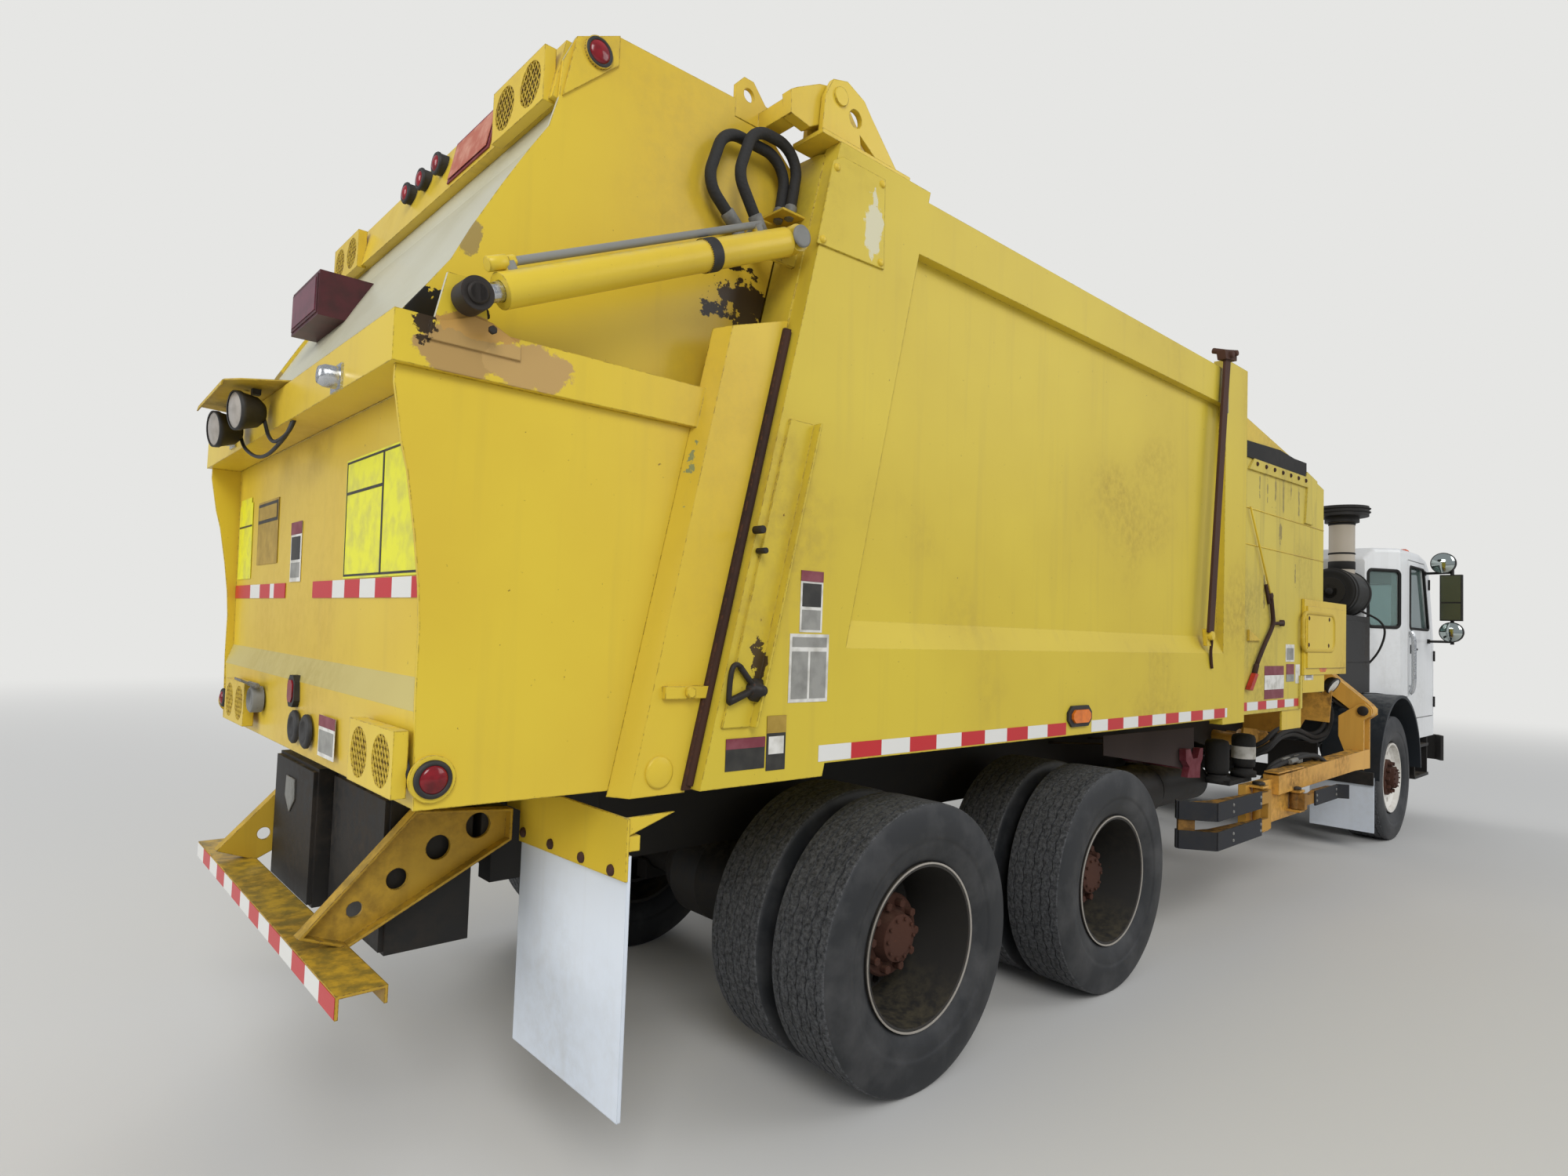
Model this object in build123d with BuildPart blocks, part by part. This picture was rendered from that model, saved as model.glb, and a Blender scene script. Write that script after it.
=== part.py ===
from build123d import *
from math import cos, sin, tau
import os

os.makedirs("parts", exist_ok=True)

# Side-loading refuse collection truck: X forward, Y left, Z up, in millimetres
# The origin is on the ground, midway along the truck and on its centre line
half_length = 5000.0
front_axle_x = 3300.0
tandem_spread = 1400.0
rear_axle_x = (-3120.0, -3120.0 + tandem_spread)
front_tyre_radius = 520.0
rear_tyre_radius = 505.0
rail_y = 430.0
rail_top = 1040.0
body_half = 1205.0
body_floor = 1200.0
body_top = 3150.0
tip_hinge = (-4100.0, 1120.0)
gate_hinge = (-3680.0, 3350.0)
hoist_pin = (-2450.0, 830.0)
hoist_eye = (-3150.0, 1120.0)
gate_pin = (-3852.0, 2823.0)
gate_eye = (-4844.0, 2365.0)
cab_half = 1120.0
arm_x = 2030.0
leg_y = (530.0, 542.0)
hinge_pin = 30.0
hinge_bore = 31.0
past_sides = 1300.0
sides = (("right", -1), ("left", 1))


def save(builder, label):
    """Name a finished piece and write its file."""
    builder.part.label = label
    export_step(builder.part, f"parts/{label}.step")


def side_plate(points, y_from, y_to):
    """A plate with its outline in X and Z, between two values of Y."""
    with BuildPart() as plate:
        with BuildSketch(Plane.XZ.offset(-max(y_from, y_to))):
            with BuildLine():
                Polyline(*points, close=True)
            make_face()
        extrude(amount=abs(y_to - y_from))
    return plate.part


def cross_plate(points, x_from, x_to):
    """A plate with its outline in Y and Z, between two values of X."""
    with BuildPart() as plate:
        with BuildSketch(Plane.YZ.offset(min(x_from, x_to))):
            with BuildLine():
                Polyline(*points, close=True)
            make_face()
        extrude(amount=abs(x_to - x_from))
    return plate.part


def flat_plate(points, z_from, z_to):
    """A plate with its outline in X and Y, between two heights."""
    with BuildPart() as plate:
        with BuildSketch(Plane.XY.offset(z_from)):
            with BuildLine():
                Polyline(*points, close=True)
            make_face()
        extrude(amount=z_to - z_from)
    return plate.part


def block(x_from, x_to, y_from, y_to, z_from, z_to):
    """A rectangular bar or box between its two corners."""
    x_low, x_high = sorted((x_from, x_to))
    y_low, y_high = sorted((y_from, y_to))
    return flat_plate([(x_low, y_low), (x_high, y_low), (x_high, y_high), (x_low, y_high)], z_from, z_to)


def bar(start, end, radius):
    """A round bar from one point to another."""
    run = Vector(*end) - Vector(*start)
    with BuildPart() as piece:
        with BuildSketch(Plane(origin=start, z_dir=run)):
            Circle(radius)
        extrude(amount=run.length)
    return piece.part


def turned(x, z, outline):
    """A solid turned about a crosswise axle at x and z, from (y, radius) points."""
    with BuildPart() as piece:
        with BuildSketch(Plane(origin=(x, 0, z), x_dir=(0, 1, 0), z_dir=(1, 0, 0))):
            with BuildLine():
                Polyline(*outline, close=True)
            make_face()
        revolve(axis=Axis((x, 0, z), (0, 1, 0)))
    return piece.part


def mirrored(outline, side):
    """The (y, value) points of the left side, taken to the side wanted."""
    return [(side * y, value) for y, value in outline]


def tray(points, y_back, y_face, y_rim, wall):
    """A pressed plate from y_back to y_face, with a rim of the wall's thickness standing out to y_rim."""
    with BuildPart() as pressed:
        add(side_plate(points, y_back, y_face))
        with BuildSketch(Plane.XZ.offset(-max(y_face, y_rim))):
            with BuildLine():
                Polyline(*points, close=True)
            make_face()
            offset(amount=-wall, mode=Mode.SUBTRACT)
        extrude(amount=abs(y_rim - y_face))
    return pressed.part


def hose(points, corner, radius):
    """A round hose or pipe in straight runs joined by arcs of the corner's radius."""
    with BuildPart() as piece:
        with BuildLine():
            path = FilletPolyline(*points, radius=corner)
        with BuildSketch(Plane(origin=path @ 0, z_dir=path % 0)):
            Circle(radius)
        sweep()
    return piece.part


# Tyres: a straight-sided ring with chamfered shoulders, its bore seated on the rim
bead_radius = 285.0
lip_radius = 293.0
rear_tyre_width = 280.0
front_tyre_width = 312.0
outer_tyre_y = 1055.0
dual_spacing = 330.0
front_tyre_y = 992.0


def tyre_outline(centre, width, radius):
    """One tyre's section as (y, radius) points."""
    wall = radius - bead_radius
    half = [(0.37 * width, bead_radius), (0.37 * width, lip_radius + 3),
            (0.47 * width, bead_radius + 0.2 * wall), (0.50 * width, bead_radius + 0.5 * wall),
            (0.46 * width, radius - 0.14 * wall), (0.41 * width, radius)]
    return [(centre - y, r) for y, r in half] + [(centre + y, r) for y, r in reversed(half)]


# Rear wheels: two rims back to back with their discs between, one hub and drum, as (offset, radius)
dual_disc_y = outer_tyre_y - dual_spacing / 2
dual_rim = [(-283, lip_radius), (-271, lip_radius), (-271, bead_radius), (-59, bead_radius),
            (-59, lip_radius), (-47, lip_radius), (-47, 262), (47, 262), (47, lip_radius),
            (59, lip_radius), (59, bead_radius), (271, bead_radius), (271, lip_radius), (283, lip_radius),
            (283, 277), (70, 250), (12, 245), (12, 145), (118, 140), (130, 95), (150, 85), (150, 0),
            (60, 0), (60, 62), (-180, 62), (-180, 105), (-40, 120), (-40, 188), (-230, 188), (-230, 205),
            (-30, 205), (-12, 160), (-12, 245), (-70, 250), (-283, 277)]
hand_holes = 5


def hand_hole_bars(x, z, y_from, y_to, circle, radius):
    """Crosswise bars evenly round a wheel's axle, to cut its disc's holes."""
    places = [(x + circle * cos(tau * n / hand_holes), z + circle * sin(tau * n / hand_holes))
              for n in range(hand_holes)]
    return [bar((place_x, y_from, place_z), (place_x, y_to, place_z),
                radius) for place_x, place_z in places]


for number, x in enumerate(rear_axle_x, start=1):
    for name, side in sides:
        with BuildPart() as tyres:
            for y in (outer_tyre_y, outer_tyre_y - dual_spacing):
                add(turned(x, rear_tyre_radius, mirrored(tyre_outline(y, rear_tyre_width,
                                                                      rear_tyre_radius), side)))
        save(tyres, f"tyres_rear_{number}_{name}")
        with BuildPart() as rims:
            add(turned(x, rear_tyre_radius, [(side * (dual_disc_y + y), r) for y, r in dual_rim]))
            add(hand_hole_bars(x, rear_tyre_radius, side * (dual_disc_y - 20), side * (dual_disc_y + 20),
                               222, 19), mode=Mode.SUBTRACT)
        save(rims, f"rims_rear_{number}_{name}")

# Front wheels: one rim with its disc near the outside, the hub and its cap, and the drum
front_rim = [(862, lip_radius), (874, lip_radius), (874, bead_radius), (1110, bead_radius),
             (1110, lip_radius), (1122, lip_radius), (1122, 278), (1088, 262), (1072, 235), (1070, 150),
             (1084, 142), (1088, 85), (1132, 66), (1140, 40), (1140, 0), (1062, 0), (1062, 47.5),
             (935, 47.5), (935, 95), (1020, 110), (1020, 188), (880, 188), (880, 205), (1034, 205),
             (1052, 160), (1056, 240), (1040, 258), (862, 277)]
for name, side in sides:
    with BuildPart() as tyre:
        outline = tyre_outline(front_tyre_y, front_tyre_width, front_tyre_radius)
        add(turned(front_axle_x, front_tyre_radius, mirrored(outline, side)))
    save(tyre, f"tyre_front_{name}")
    with BuildPart() as rim:
        add(turned(front_axle_x, front_tyre_radius, mirrored(front_rim, side)))
        add(hand_hole_bars(front_axle_x, front_tyre_radius, side * 1045, side * 1090, 208, 19),
            mode=Mode.SUBTRACT)
    save(rim, f"rim_front_{name}")

# Steering knuckles: a fork about the beam's end, the king pin through it, and the wheel's spindle
king_pin_y = 850.0
fork_half = 95.0
eye_half = 55.0
pin_radius = 20.0
spindle_radius = 46.0
for name, side in sides:
    with BuildPart() as knuckle:
        for low, high in ((-fork_half, -eye_half - 6), (eye_half + 6, fork_half)):
            add(block(front_axle_x - 45, front_axle_x + 45, side * (king_pin_y - 45), side * 905,
                      front_tyre_radius + low, front_tyre_radius + high))
        add(block(front_axle_x - 60, front_axle_x + 60, side * 903, side * 925,
                  front_tyre_radius - fork_half, front_tyre_radius + fork_half))
        add(bar((front_axle_x, side * king_pin_y, front_tyre_radius - fork_half - 12),
                (front_axle_x, side * king_pin_y, front_tyre_radius + fork_half + 12), pin_radius))
        add(bar((front_axle_x, side * 915, front_tyre_radius),
                (front_axle_x, side * 1055, front_tyre_radius), spindle_radius))
        add(block(front_axle_x - 230, front_axle_x - 40, side * (king_pin_y - 45),
                  side * (king_pin_y - 10), front_tyre_radius - fork_half,
                  front_tyre_radius - fork_half + 25))
    save(knuckle, f"knuckle_{name}")

# Front axle: a forged beam, dropped in the middle, with an upright eye at each end for the king pin
with BuildPart() as front_axle:
    beam = [(-790, 575), (-690, 575), (-560, 500), (560, 500), (690, 575), (790, 575), (790, 470),
            (690, 470), (560, 390), (-560, 390), (-690, 470), (-790, 470)]
    add(cross_plate(beam, front_axle_x - 50, front_axle_x + 50))
    for name, side in sides:
        add(block(front_axle_x - 40, front_axle_x + 40, side * 780, side * (king_pin_y - 20),
                  front_tyre_radius - eye_half, front_tyre_radius + eye_half))
        add(bar((front_axle_x, side * king_pin_y, front_tyre_radius - eye_half),
                (front_axle_x, side * king_pin_y, front_tyre_radius + eye_half), 42))
        add(bar((front_axle_x, side * king_pin_y, front_tyre_radius - eye_half - 1),
                (front_axle_x, side * king_pin_y, front_tyre_radius + eye_half + 1), pin_radius + 1),
            mode=Mode.SUBTRACT)
save(front_axle, "front_axle")

# Rear axles: two drive axles, each a turned tube with a swollen middle for its gears
housing = [(-945, 0), (-945, 60), (-580, 60), (-560, 78), (-260, 88), (-200, 150), (-90, 200), (90, 200),
           (200, 150), (260, 88), (560, 78), (580, 60), (945, 60), (945, 0)]
with BuildPart() as rear_axles:
    for x in rear_axle_x:
        add(turned(x, rear_tyre_radius, housing))
        add(bar((x + 150, 0, rear_tyre_radius + 10), (x + 290, 0, rear_tyre_radius + 14), 70))
save(rear_axles, "rear_axles")

# Suspension: leaf springs at the front, and a walking beam each side between the two drive axles
leaf_count = 4
leaf_thick = 16.0
spring_y = (345.0, 425.0)
with BuildPart() as suspension:
    for name, side in sides:
        for leaf in range(leaf_count):
            reach = 640 - 115 * leaf
            top = 640 - leaf_thick * leaf
            rise = 0.11 * reach
            add(side_plate([(front_axle_x - reach, top + rise), (front_axle_x, top),
                            (front_axle_x + reach, top + rise),
                            (front_axle_x + reach, top + rise - leaf_thick),
                            (front_axle_x, top - leaf_thick),
                            (front_axle_x - reach, top + rise - leaf_thick)], side * spring_y[0],
                           side * spring_y[1]))
        add(block(front_axle_x - 60, front_axle_x + 60, side * spring_y[0], side * spring_y[1], 500, 580))
        for x in (front_axle_x - 640, front_axle_x + 600):
            add(block(x, x + 40, side * spring_y[0], side * spring_y[1], 680, 770))
        middle = sum(rear_axle_x) / 2
        add(side_plate([(rear_axle_x[0] - 90, 380), (rear_axle_x[0] - 90, 470), (middle - 160, 560),
                        (middle + 160, 560), (rear_axle_x[1] + 90, 470), (rear_axle_x[1] + 90, 380),
                        (middle, 400)], side * 440, side * 520))
        add(side_plate([(middle - 230, 800), (middle + 230, 800), (middle + 110, 540),
                        (middle - 110, 540)], side * rail_y, side * 520))
        for x in rear_axle_x:
            add(bar((x, side * 400, rear_tyre_radius), (x, side * 600, rear_tyre_radius), 86),
                mode=Mode.SUBTRACT)
save(suspension, "suspension")

# Chassis: two channel rails, dropped ahead of the front axle under the low cab, with cross members
rail = [(-4400, 770), (3950, 770), (4120, 560), (4870, 560), (4870, 760), (4330, 760), (4150, 1000),
        (4050, rail_top), (-4400, rail_top)]
cross_members = ((-4380, 800, 1010), (-3420, 800, 1010), (-1950, 800, 1010), (-700, 800, 1010),
                 (600, 800, 1010), (1080, 800, 1010), (2850, 790, 900), (4780, 590, 730))
rail_wall = 10.0
rail_flange = 85.0
with BuildPart() as chassis_frame:
    for name, side in sides:
        add(tray(rail, side * rail_y, side * (rail_y - rail_wall), side * (rail_y - rail_flange),
                 rail_wall))
    for x, low, high in cross_members:
        add(block(x, x + 60, -rail_y + 5, rail_y - 5, low, high))
    add(block(-4480, -4400, -leg_y[0], leg_y[0], 935, 1030))
    add(bar((hoist_pin[0], -rail_y + 5, hoist_pin[1]), (hoist_pin[0], rail_y - 5, hoist_pin[1]),
            hinge_pin))
    for name, side in sides:
        add(side_plate([(-4190, rail_top - 120), (-4010, rail_top - 120), (-4040, tip_hinge[1] + 10),
                        (-4070, tip_hinge[1] + 45), (-4130, tip_hinge[1] + 45),
                        (-4160, tip_hinge[1] + 10)], side * rail_y, side * (rail_y + 20)))
        add(bar((tip_hinge[0], side * (rail_y + 20), tip_hinge[1]),
                (tip_hinge[0], side * (rail_y - 95), tip_hinge[1]), hinge_pin))
save(chassis_frame, "chassis_frame")

# Rear bumper: a pressed angle with a broad top, on two flanged legs with lightening holes
bumper_half = 900.0
bumper_face = [(-4980, 655), (-4972, 655), (-4972, 704), (-4868, 704), (-4868, 668), (-4860, 668),
               (-4860, 712), (-4980, 712)]
leg = [(-4985, 752), (-4861, 704), (-4420, 925), (-4400, 935), (-4400, 1030), (-4696, 1055)]
leg_rim_y = 575.0
leg_holes = ((-4495, 985, 38), (-4614, 935, 36), (-4728, 862, 30), (-4838, 796, 22))
with BuildPart() as rear_bumper:
    add(side_plate(bumper_face, -bumper_half, bumper_half))
    for name, side in sides:
        add(tray(leg, side * leg_y[0], side * leg_y[1], side * leg_rim_y, 8))
        for x, z, radius in leg_holes:
            add(bar((x, side * 500, z), (x, side * 600, z), radius), mode=Mode.SUBTRACT)
save(rear_bumper, "rear_bumper")

# Shafts that drive the rear axles
shaft_z = 519.0
with BuildPart() as prop_shafts:
    add(bar((rear_axle_x[0] + 294, 0, shaft_z), (rear_axle_x[1] - 205, 0, shaft_z), 42))
    add(bar((rear_axle_x[1] + 300, 0, shaft_z), (1190, 0, 700), 48))
save(prop_shafts, "prop_shafts")

# Engine: one plain block between the rails behind the cab
with BuildPart() as engine_block:
    add(block(1500, 2780, -330, 330, 660, 1085))
    add(bar((1200, 0, 760), (1500, 0, 800), 180))
save(engine_block, "engine_block")

# Cooling housing: the black box over the engine, behind the cab
with BuildPart() as cooling_housing:
    add(block(2280, 3110, -700, 700, 1090, 1880))
    add(block(2280, 3110, -1000, 1000, 1240, 1880))
    add(block(2330, 3060, -1010, 1010, 1500, 1830))
save(cooling_housing, "cooling_housing")

# Air cleaner: a round canister lying beside the cab, its intake stack and rain cap
cleaner_y = -800.0
cleaner_z = 2085.0
stack_x = 3060.0
with BuildPart() as air_cleaner:
    for x_from, x_to, radius in ((2740, 3190, 195), (2790, 2720, 120)):
        add(bar((x_from, cleaner_y, cleaner_z), (x_to, cleaner_y, cleaner_z), radius))
    for z_low, z_high, radius in ((2200, 2740, 98), (2700, 2790, 130), (2750, 2835, 200)):
        add(bar((stack_x, cleaner_y, z_low), (stack_x, cleaner_y, z_high), radius))
    for x in (2830, 3110):
        add(block(x, x + 40, cleaner_y - 60, cleaner_y + 60, 1880, 1900))
save(air_cleaner, "air_cleaner")

# Tanks: fuel tank on the left, hydraulic tank and air bottles on the right, each against its rail
# (x from, x to, y, z, radius)
tank_sizes = ((200, 1500, 760, 760, 300), (-900, -300, -620, 700, 150), (-200, 450, -600, 690, 130))
with BuildPart() as tanks:
    for x_from, x_to, y, z, radius in tank_sizes:
        add(bar((x_from, y, z), (x_to, y, z), radius))
    for x in (300, 1300):
        add(block(x, x + 60, rail_y, 560, 800, 1000))
    for x in (-800, -450, -100, 300):
        add(block(x, x + 50, -rail_y, -520, 780, 820))
save(tanks, "tanks")

# Tool boxes: two lidded boxes side by side below the tailgate, one standing further back than the other
tool_box_sizes = ((-4800, -4560, 15, 515, 650, 1100), (-4745, -4500, -515, 0, 640, 1090))
with BuildPart() as tool_boxes:
    for x_back, x_front, y_from, y_to, z_low, z_high in tool_box_sizes:
        add(block(x_back, x_front, y_from, y_to, z_low, z_high))
        add(block(x_back - 14, x_back, y_from + 8, y_to - 8, z_low + 10, z_high - 10))
        add(block(x_front, -4480, y_from + 150, y_to - 150, 940, 1020))
save(tool_boxes, "tool_boxes")

# Mud flaps: each hangs from a braced steel plate, behind the rearmost wheels and behind the front ones
with BuildPart() as mud_flaps:
    for name, side in sides:
        add(block(-4352, -4312, side * rail_y, side * 1150, 1010, 1050))
        add(cross_plate(mirrored([(541, 920), (541, 1056), (800, 1100), (1160, 1100), (1160, 935)], side),
                        -4360, -4352))
        add(side_plate([(-4352, 1100), (-4352, 1050), (-4200, 1100)], side * 1140, side * 1148))
        add(block(-4352, -4340, side * 545, side * 1155, 310, 1000))
        add(block(2450, 2470, side * 740, side * 1190, 540, 640))
        add(block(2470, 2482, side * 740, side * 1190, 170, 600))
        add(block(2440, 2470, side * rail_y, side * 800, 600, 830))
save(mud_flaps, "mud_flaps")

# Fenders: rubber arches over the front wheels
arch_radius = 650.0
arch_y = (770.0, 1190.0)
with BuildPart() as arch:
    with BuildSketch(Plane.XZ.offset(-arch_y[1])):
        with Locations((front_axle_x, front_tyre_radius + 30)):
            Circle(arch_radius + 25)
            Circle(arch_radius, mode=Mode.SUBTRACT)
        with Locations((front_axle_x, 560 - 700)):
            Rectangle(2000, 1400, mode=Mode.SUBTRACT)
    extrude(amount=arch_y[1] - arch_y[0])
with BuildPart() as fenders:
    for name, side in sides:
        add(arch.part.moved(Location((0, 0 if side == 1 else -sum(arch_y), 0))))
        add(block(front_axle_x + 440, front_axle_x + 500, side * rail_y, side * 800, 1000, 1030))
save(fenders, "fenders")

# Cab: a hollow shell with angled rear corners, its window and door openings cut, over the front wheels
cab_plan = [(4830, -1000), (4830, 1000), (4785, cab_half), (3560, cab_half), (3230, 930), (3230, -930),
            (3560, -cab_half), (4785, -cab_half)]
cab_plan_inside = [(4780, -975), (4780, 975), (4735, 1070), (3580, 1070), (3280, 900), (3280, -900),
                   (3580, -1070), (4735, -1070)]
cab_side = [(3230, 1240), (3230, 2400), (3330, 2500), (3800, 2515), (4250, 2515), (4490, 2480),
            (4570, 2430), (4780, 1700), (4830, 1400), (4830, 800), (3900, 800), (3900, 1240)]
cab_floor = 1240.0
cab_side_inside = [(3280, 1240), (3280, 2400), (3340, 2450), (4240, 2465), (4480, 2430), (4530, 2390),
                   (4730, 1690), (4780, 1390), (4780, 860), (3970, 860), (3970, 1240)]
door_outline = [(3810, 985), (3810, 2430), (4419, 2430), (4700, 1700), (4770, 1400), (4770, 985)]
door_glass = [(3880, 1810), (3880, 2370), (4368, 2370), (4570, 1810)]
rear_glass_z = (1815.0, 2240.0)
corner_glass_z = (1812.0, 2300.0)
cab_round = 40.0
with BuildPart() as cab_hollow:
    add(flat_plate(cab_plan_inside, 800, 2500))
    add(side_plate(cab_side_inside, -past_sides, past_sides), mode=Mode.INTERSECT)
with BuildPart() as cab_shell:
    add(flat_plate(cab_plan, 700, 2600))
    add(side_plate(cab_side, -past_sides, past_sides), mode=Mode.INTERSECT)
    roof_edges = cab_shell.edges().filter_by_position(Axis.Z, 2395, 2600)
    fillet(roof_edges, radius=cab_round)
    add(cab_hollow.part, mode=Mode.SUBTRACT)
    add(flat_plate([(3230, 930), (3560, cab_half), (3960, cab_half), (3960, -cab_half), (3560, -cab_half),
                    (3230, -930)], cab_floor - 40, cab_floor))
    add(block(3920, 3970, -1100, 1100, 850, cab_floor))
    add(block(3900, 4360, -470, 470, 790, 1085))
    add(block(3890, 4340, -450, 450, 780, 1060), mode=Mode.SUBTRACT)
    for name, side in sides:
        add(bar((front_axle_x, side * 700, front_tyre_radius + 30),
                (front_axle_x, side * past_sides, front_tyre_radius + 30), arch_radius + 30),
            mode=Mode.SUBTRACT)
        add(side_plate(door_outline, side * (cab_half - 60), side * past_sides), mode=Mode.SUBTRACT)
    add(block(4400, 4900, -900, 900, 1430, 2260), mode=Mode.SUBTRACT)
    add(block(3200, 3300, -650, 650, rear_glass_z[0], rear_glass_z[1]), mode=Mode.SUBTRACT)
    for name, side in sides:
        add(flat_plate([(3266, side * 1150), (3548, side * 1150), (3548, side * 1040), (3266, side * 880)],
                       *corner_glass_z), mode=Mode.SUBTRACT)
save(cab_shell, "cab_shell")

# Cab glass: windscreen, rear window and the two angled corner windows, each a pane in its opening
with BuildPart() as cab_glass:
    add(side_plate([(4795, 1425), (4801, 1425), (4747, 1700), (4585, 2262), (4579, 2262), (4741, 1700)],
                   -895, 895))
    add(block(4500, 4900, -900, 900, 1300, 1432), mode=Mode.SUBTRACT)
    add(block(4500, 4900, -900, 900, 2258, 2300), mode=Mode.SUBTRACT)
    add(block(3250, 3256, -645, 645, rear_glass_z[0] + 5, rear_glass_z[1] - 5))
    for name, side in sides:
        add(flat_plate([(3273, side * 938), (3543, side * 1094), (3540, side * 1099), (3270, side * 943)],
                       corner_glass_z[0] + 4, corner_glass_z[1] - 4))
save(cab_glass, "cab_glass")

# Cab interior: dashboard, two seats and the steering wheel on its column
with BuildPart() as cab_interior:
    add(side_plate([(4560, 860), (4770, 860), (4770, 1380), (4560, 1330)], -925, 925))
    for y in (-640, 640):
        add(block(3990, 4060, y - 230, y + 230, 1130, 1720))
        add(block(3990, 4440, y - 230, y + 230, 1090, 1200))
        add(block(4120, 4380, y - 120, y + 120, 860, 1090))
        add(bar((4580, y, 1300), (4480, y, 1420), 20))
        add(bar((4482, y, 1418), (4466, y, 1437), 200))
save(cab_interior, "cab_interior")

# Doors: one each side ahead of the wheel, hung on its front edge, with glass of its own
door_inner = 1075.0
door_shape = [(3818, 993), (3818, 2422), (4413, 2422), (4692, 1698), (4762, 1398), (4762, 993)]
for name, side in sides:
    with BuildPart() as door:
        add(side_plate(door_shape, side * door_inner, side * cab_half))
        add(side_plate(door_glass, side * 1000, side * 1200), mode=Mode.SUBTRACT)
        add(block(3850, 3865, side * 1120, side * 1150, 1280, 1295))
        add(block(3850, 3865, side * 1120, side * 1150, 1725, 1740))
        add(bar((3858, side * 1150, 1270), (3858, side * 1150, 1750), 12))
    save(door, f"door_{name}")
    with BuildPart() as pane:
        add(side_plate(door_glass, side * 1094, side * 1100))
    save(pane, f"door_glass_{name}")
    with BuildPart() as wing_mirror:
        mirror_x = 4330.0
        mirror_y = side * 1350
        for foot_x, z in ((4560, 1700), (4400, 2340)):
            add(block(foot_x - 30, foot_x + 30, side * cab_half, side * (cab_half + 14), z - 20, z + 20))
            add(bar((foot_x, side * (cab_half + 12), z), (mirror_x, mirror_y, z), 12))
        add(bar((mirror_x, mirror_y, 1675), (mirror_x, mirror_y, 2440), 15))
        add(block(mirror_x - 60, mirror_x - 5, mirror_y - 83, mirror_y + 83, 1892, 2316))
        add(bar((mirror_x - 50, side * 1289, 2425), (mirror_x - 5, side * 1289, 2425), 97))
        add(bar((mirror_x - 50, mirror_y, 1788), (mirror_x - 5, mirror_y, 1788), 92))
    save(wing_mirror, f"mirror_{name}")

# Front bumper: a deep steel channel on the rails' ends
with BuildPart() as front_bumper:
    add(flat_plate([(4870, -rail_y), (4960, -rail_y), (4960, -1100), (4880, -1160), (4900, -1180),
                    (half_length, -1120), (half_length, 1120), (4900, 1180), (4880, 1160), (4960, 1100),
                    (4960, rail_y), (4870, rail_y), (4870, 340), (4960, 340), (4960, -340), (4870, -340)],
                   550, 790))
save(front_bumper, "front_bumper")

# Steps: two treads below each door, with closed panels between them
with BuildPart() as cab_steps:
    for name, side in sides:
        add(block(4040, 4540, side * 780, side * 1130, 440, 465))
        add(block(4060, 4540, side * 830, side * 1130, 715, 740))
        add(block(4060, 4540, side * 830, side * 860, 465, 800))
        add(block(4060, 4080, side * 860, side * 1120, 465, 715))
        add(block(4520, 4540, side * 860, side * 1120, 465, 800))
        add(block(4400, 4460, side * rail_y, side * 830, 640, 700))
save(cab_steps, "cab_steps")

# Body: a hollow steel box with a proud top rail, recessed side panels and a proud skirt
panel_half = 1165.0
body_front = -250.0
seal_slope = (-3700.0 + 4160.0) / (body_top - 1160.0)
body_section = [(0, body_floor), (body_half, body_floor), (body_half, 1560), (panel_half, 1650),
                (panel_half, 2950), (body_half, 2950), (body_half, body_top), (1100, 3185), (600, 3215),
                (0, 3225)]
body_inside = [(0, 1240), (1080, 1240), (1130, 1290), (1130, 3110), (1080, 3148), (600, 3180), (0, 3190)]
full = [(-y, z) for y, z in reversed(body_section[1:-1])]
full_inside = [(-y, z) for y, z in reversed(body_inside[1:-1])]
seal_line = [(-4160, 1160), (-4160 + seal_slope * (3400 - 1160), 3400), (-6000, 3400), (-6000, 1160)]
rear_post = [(-4160, 1160), (-3685, 1160), (-3230, body_top + 40), (-3700, body_top + 40)]
front_post = [(-560, 1166), (-250, 1166), (-250, 3215), (-560, 3215)]
cover_plate = [(-3728, 3111), (-3684, 3139), (-3480, 3141), (-3474, 2834), (-3788, 2824)]
prop_channel = [(-3875, 2250), (-3770, 2250), (-3990, 1330), (-4095, 1330)]
prop_lip = [(-3777, 2250), (-3769, 2250), (-3989, 1330), (-3997, 1330)]
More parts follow.
